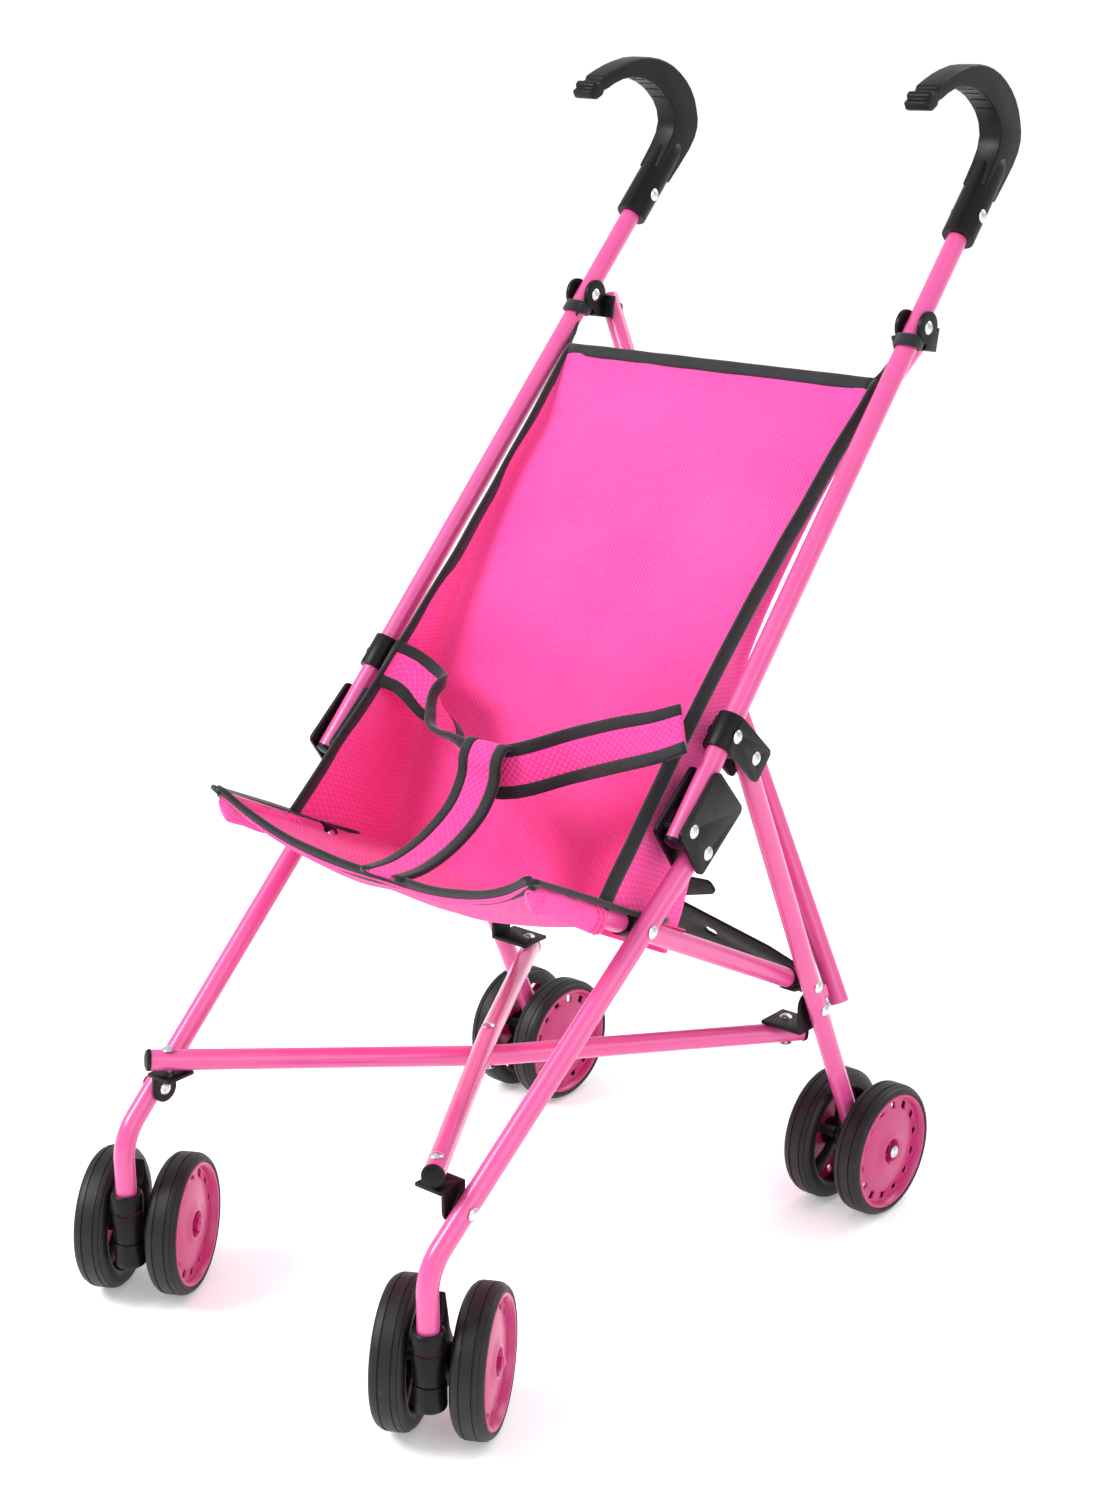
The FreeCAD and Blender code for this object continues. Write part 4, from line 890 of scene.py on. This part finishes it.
def add_bindings():
    """Black tape folded over the edges of the sling."""
    made = {}
    top = [at(-91.0 + 182.0 * i / TAPE_POINTS, 149.0, 405.0)
           + Vector((0, 1, -0.5)) * MM * 0.8 * noise.noise(Vector((i * 0.3, 0, 0)))
           for i in range(TAPE_POINTS + 1)]
    made["binding_top"] = (top, Vector((0, 0.56, 0.83)), "handle_right")
    for word, side in SIDES.items():
        line = []
        for i in range(TAPE_POINTS + 1):
            t = i / TAPE_POINTS
            y = WING_TOP[0] + (WING_LOW[0] - 3 - WING_TOP[0]) * t + WING_TAPE_INSET
            z = WING_TOP[1] + (WING_LOW[1] - 3 - WING_TOP[1]) * t - WING_TAPE_INSET
            wave = 0.7 * noise.noise(Vector((i * 0.25, side, 0)))
            line.append(at(side * (wing_edge(t) + 0.3 + wave), y, z))
        made["binding_wing_" + word] = (line, Vector((side * 0.2, 0.69, -0.72)), "handle_" + word)
        seam = smooth_line([Vector((0, y, z)) for y, z in SEAM[:6]], SEAM_POINTS)
        made["binding_seam_" + word] = (
            [at(side * 94.2, p.y, p.z + 1.0) for p in seam], Vector((side, 0, 0.35)),
            "rail_" + word)
    edge = [front_edge(-94.0 + 188.0 * i / FRONT_POINTS) for i in range(FRONT_POINTS + 1)]
    made["binding_front"] = ([at(p.x, p.y + 1.6, p.z + 0.6
                                 + 0.8 * noise.noise(Vector((p.x * 0.04, 5, 0))))
                              for p in edge], Vector((0, 0.35, -0.94)), "rail_right")
    for name, (line, flat, body) in made.items():
        wide = WING_TAPE_WIDE if "wing" in name else TAPE_WIDE
        tape = band(name, line, flat, wide, TAPE_THICK, TAPE)
        own(tape, name, TAPE, body)


add_bindings()


# ---------------------------------------------------------------- belts

STRAP_WIDE, STRAP_THICK = 24.0, 1.8
CROTCH_POINTS, LAP_POINTS = 36, 60
CROTCH = [(0.0, -89.0, 213.5), (0.0, -72.0, 213.0), (0.0, -52.0, 218.0), (0.0, -34.0, 228.0),
          (0.0, -25.0, 240.0), (0.0, -23.0, 250.0), (0.0, -18.0, 255.5), (0.0, -12.0, 253.0)]


def bound_strap(name, path, flat, wide, thick, body):
    """Webbing with a narrow black binding along each edge; lists what was made."""
    made = []
    strap = band(name, path, flat, (wide - 6.0) * MM, thick * MM, WEBBING)
    made.append(own(strap, name, WEBBING, body))
    for word, way in (("upper", 1), ("lower", -1)):
        line = []
        for i, point in enumerate(path):
            side = square_side(path, i, flat)[0]
            line.append(point + side * way * (wide / 2 - 2.6) * MM)
        tape = band("%s_%s" % (name, word), line, flat, 6.2 * MM, (thick + 1.0) * MM, TAPE)
        made.append(own(tape, "%s_%s" % (name, word), TAPE, body))
    return made


crotch_line = smooth_line([at(*p) for p in CROTCH], CROTCH_POINTS)
belts = bound_strap("crotch_strap", crotch_line, Vector((1, 0, 0)), STRAP_WIDE, STRAP_THICK,
                    "rail_right")

# the lap belt: its upper and lower edges, from the left wing to the right one
LAP_UPPER = [(-89, 20, 283), (-82, 24, 278), (-74, 24, 272), (-65, 18, 266), (-56, 8, 262),
             (-47, -4, 256.5), (-40, -11, 253.5), (-26, -16, 253), (-10, -18, 254),
             (12, -13, 255.5), (35, -1, 266), (60, 3, 277), (80, 9, 283), (92.5, 17, 287.5)]
LAP_LOWER = [(-89, 0, 261), (-80, 6, 258), (-70, 8, 254), (-62, 10, 252), (-54, 14, 250),
             (-46, 12, 247), (-39, 5, 244), (-26, -2, 240), (-10, -18, 232),
             (12, -18, 233), (35, -3, 239.5), (60, -5, 248), (80, -7, 256), (92.5, -5, 262.5)]
upper = smooth_line([at(*p) for p in LAP_UPPER], LAP_POINTS)
lower = smooth_line([at(*p) for p in LAP_LOWER], LAP_POINTS)
lap_line = [(a + b) / 2 for a, b in zip(upper, lower)]
belts += bound_strap("lap_belt", lap_line, lambda i: upper[i] - lower[i], STRAP_WIDE,
                     STRAP_THICK, "handle_right")
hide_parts("seat_belt")


# ---------------------------------------------------------------- sleeves, loops and plugs

RAIL_DOWN = (129.8 - 196.0) / (92.0 + 34.0)
SLEEVE_FRONT, SLEEVE_LONG, SLEEVE_RINGS, SLEEVE_COLUMNS = -97.0, 45.0, 27, 20
HEM_HANG, HEM_NARROW = 3.0, 0.35
STITCH_ROWS, STITCH_OUT, STITCH_STEPS = (-55.0, -58.0), 5.9, 28


def on_rail(side, y):
    """A point on a seat rail's axis, by its place from front to back."""
    return at(side * 92.0, y, 196.0 + (y + 34.0) * RAIL_DOWN)


def hem_point(reach, a):
    """A point round a rail, drawn in and hanging a little below it, in millimetres."""
    below = max(0.0, -math.sin(a))
    return Vector((reach * math.cos(a) * (1 - HEM_NARROW * below ** 2), 0,
                   reach * math.sin(a) - HEM_HANG * below ** 2))


def add_sleeve(side, word):
    """The hem that the seat rail runs through, hanging a little below the tube."""
    rows = []
    for i in range(SLEEVE_RINGS):
        y = SLEEVE_FRONT + SLEEVE_LONG * i / (SLEEVE_RINGS - 1)
        shut = min(1.0, 0.08 + i * 0.46)        # the tip is gathered
        row = []
        for j in range(SLEEVE_COLUMNS):
            a = 2 * math.pi * j / SLEEVE_COLUMNS
            slack = 5.2 + 0.5 * noise.noise(Vector((i * 0.2, math.cos(a), math.sin(a))))
            row.append(on_rail(side, y) + hem_point(slack, a) * MM * shut)
        rows.append(row)
    sleeve = cloth("rail_sleeve_" + word, rows, FABRIC, HEM_THICK, closed=True)
    settle(sleeve)
    own(sleeve, "rail_sleeve_" + word, FABRIC, "rail_" + word)
    for index, y in enumerate(STITCH_ROWS):
        ring = [on_rail(side, y) + hem_point(STITCH_OUT, 2 * math.pi * k / STITCH_STEPS) * MM
                for k in range(STITCH_STEPS + 1)]
        seam = band("sleeve_stitch_%s_%d" % (word, index), ring, Vector((0, 1, 0)), 0.5 * MM,
                    0.4 * MM, WEBBING, closed_ends=False, corners=6)
        own(seam, seam.name, WEBBING, "rail_" + word)


def add_hanger(side, word):
    """A black strap from the top corner of the sling to a loop round the handle tube."""
    corner = at(side * 92.0, 150.0, 405.0)
    hold = on_handle(side, 264.0)
    line = smooth_line([corner, corner + (hold - corner) * 0.35 + Vector((0, 0, -0.0015)),
                        corner + (hold - corner) * 0.7 + Vector((0, 0, 0.001)),
                        hold + Vector((-side * 0.0045, -0.003, 0.003))], 18)
    strap = band("hanger_" + word, line, Vector((0, 0.5, 0.9)), 6.0 * MM, 1.6 * MM, TAPE)
    axis = handle_axis(side)
    ahead = axis.cross(BACK).normalized()
    ring = [hold + (ahead * math.cos(a) + BACK * math.sin(a)) * 6.0 * MM
            + axis * 2.5 * MM * math.sin(a) for a in (2 * math.pi * k / 30 for k in range(31))]
    loop = band("hanger_loop_" + word, ring, axis, 6.5 * MM, 1.5 * MM, TAPE, closed_ends=False)
    for item in (strap, loop):
        own(item, item.name, TAPE, "handle_" + word)


CAP = [(0.01, 2.6), (3.2, 2.4), (4.7, 1.7), (5.1, 0.7), (5.1, 0.02), (3.8, 0.0), (3.8, -5.0),
       (0.01, -5.0)]
CAP_OUT = 8.5
CROSS_STEP = 5.2        # how far the crossed tubes stand apart at their rivet


def add_cap(name, place, along, body):
    """A black plug pushed into a tube's end."""
    cap = turned(CAP, HUB_STEPS)
    side = along.orthogonal()
    moved(cap, axes(place, side, along.cross(side), along))
    own(cap, name, BLACK, body)


for word, side in SIDES.items():
    add_sleeve(side, word)
    add_hanger(side, word)
    add_cap("handle_plug_" + word, on_handle(side, 0.0), -handle_axis(side), "handle_" + word)
for body, side in (("cross_a", -1), ("cross_b", 1)):
    front, rear = at(side * 82.05, -144.5, 121.3), at(-side * 82.05, 103.1, 95.8)
    middle = (front + rear) / 2 + UP * side * CROSS_STEP * MM
    for word, end in (("front", front), ("rear", rear)):
        along = (end - middle).normalized()
        add_cap("%s_plug_%s" % (body, word), end + along * CAP_OUT * MM, along, body)


# ---------------------------------------------------------------- own meshes for the seat cloth, top and front bindings and belts

folding = [item for item in bpy.context.scene.objects
          if item.name in ("backrest", "seat_pan", "binding_top", "binding_front")
          or item.name.startswith(("crotch_strap", "lap_belt"))]
for item in folding:
    at(94.0, 0.0, 300.0)
    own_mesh(item)


# ---------------------------------------------------------------- floor

FLOOR_SIDE = 80.0


def add_floor():
    """A plain pale floor, wide enough that its edge stays out of the main view."""
    bpy.ops.mesh.primitive_plane_add(size=FLOOR_SIDE)
    floor = bpy.context.object
    floor.name = "floor"
    pale = Finish("pale_floor", emission_color=(1, 1, 1, 1), emission_strength=0.24)
    pale.feed("Base Color", pale.blend(pale.noise(3.0), (0.95, 0.95, 0.95, 1),
                                       (0.97, 0.97, 0.97, 1)))
    pale.feed("Roughness", pale.noise(20.0) * 0.1 + 0.6)
    floor.data.materials.append(pale.material)


add_floor()
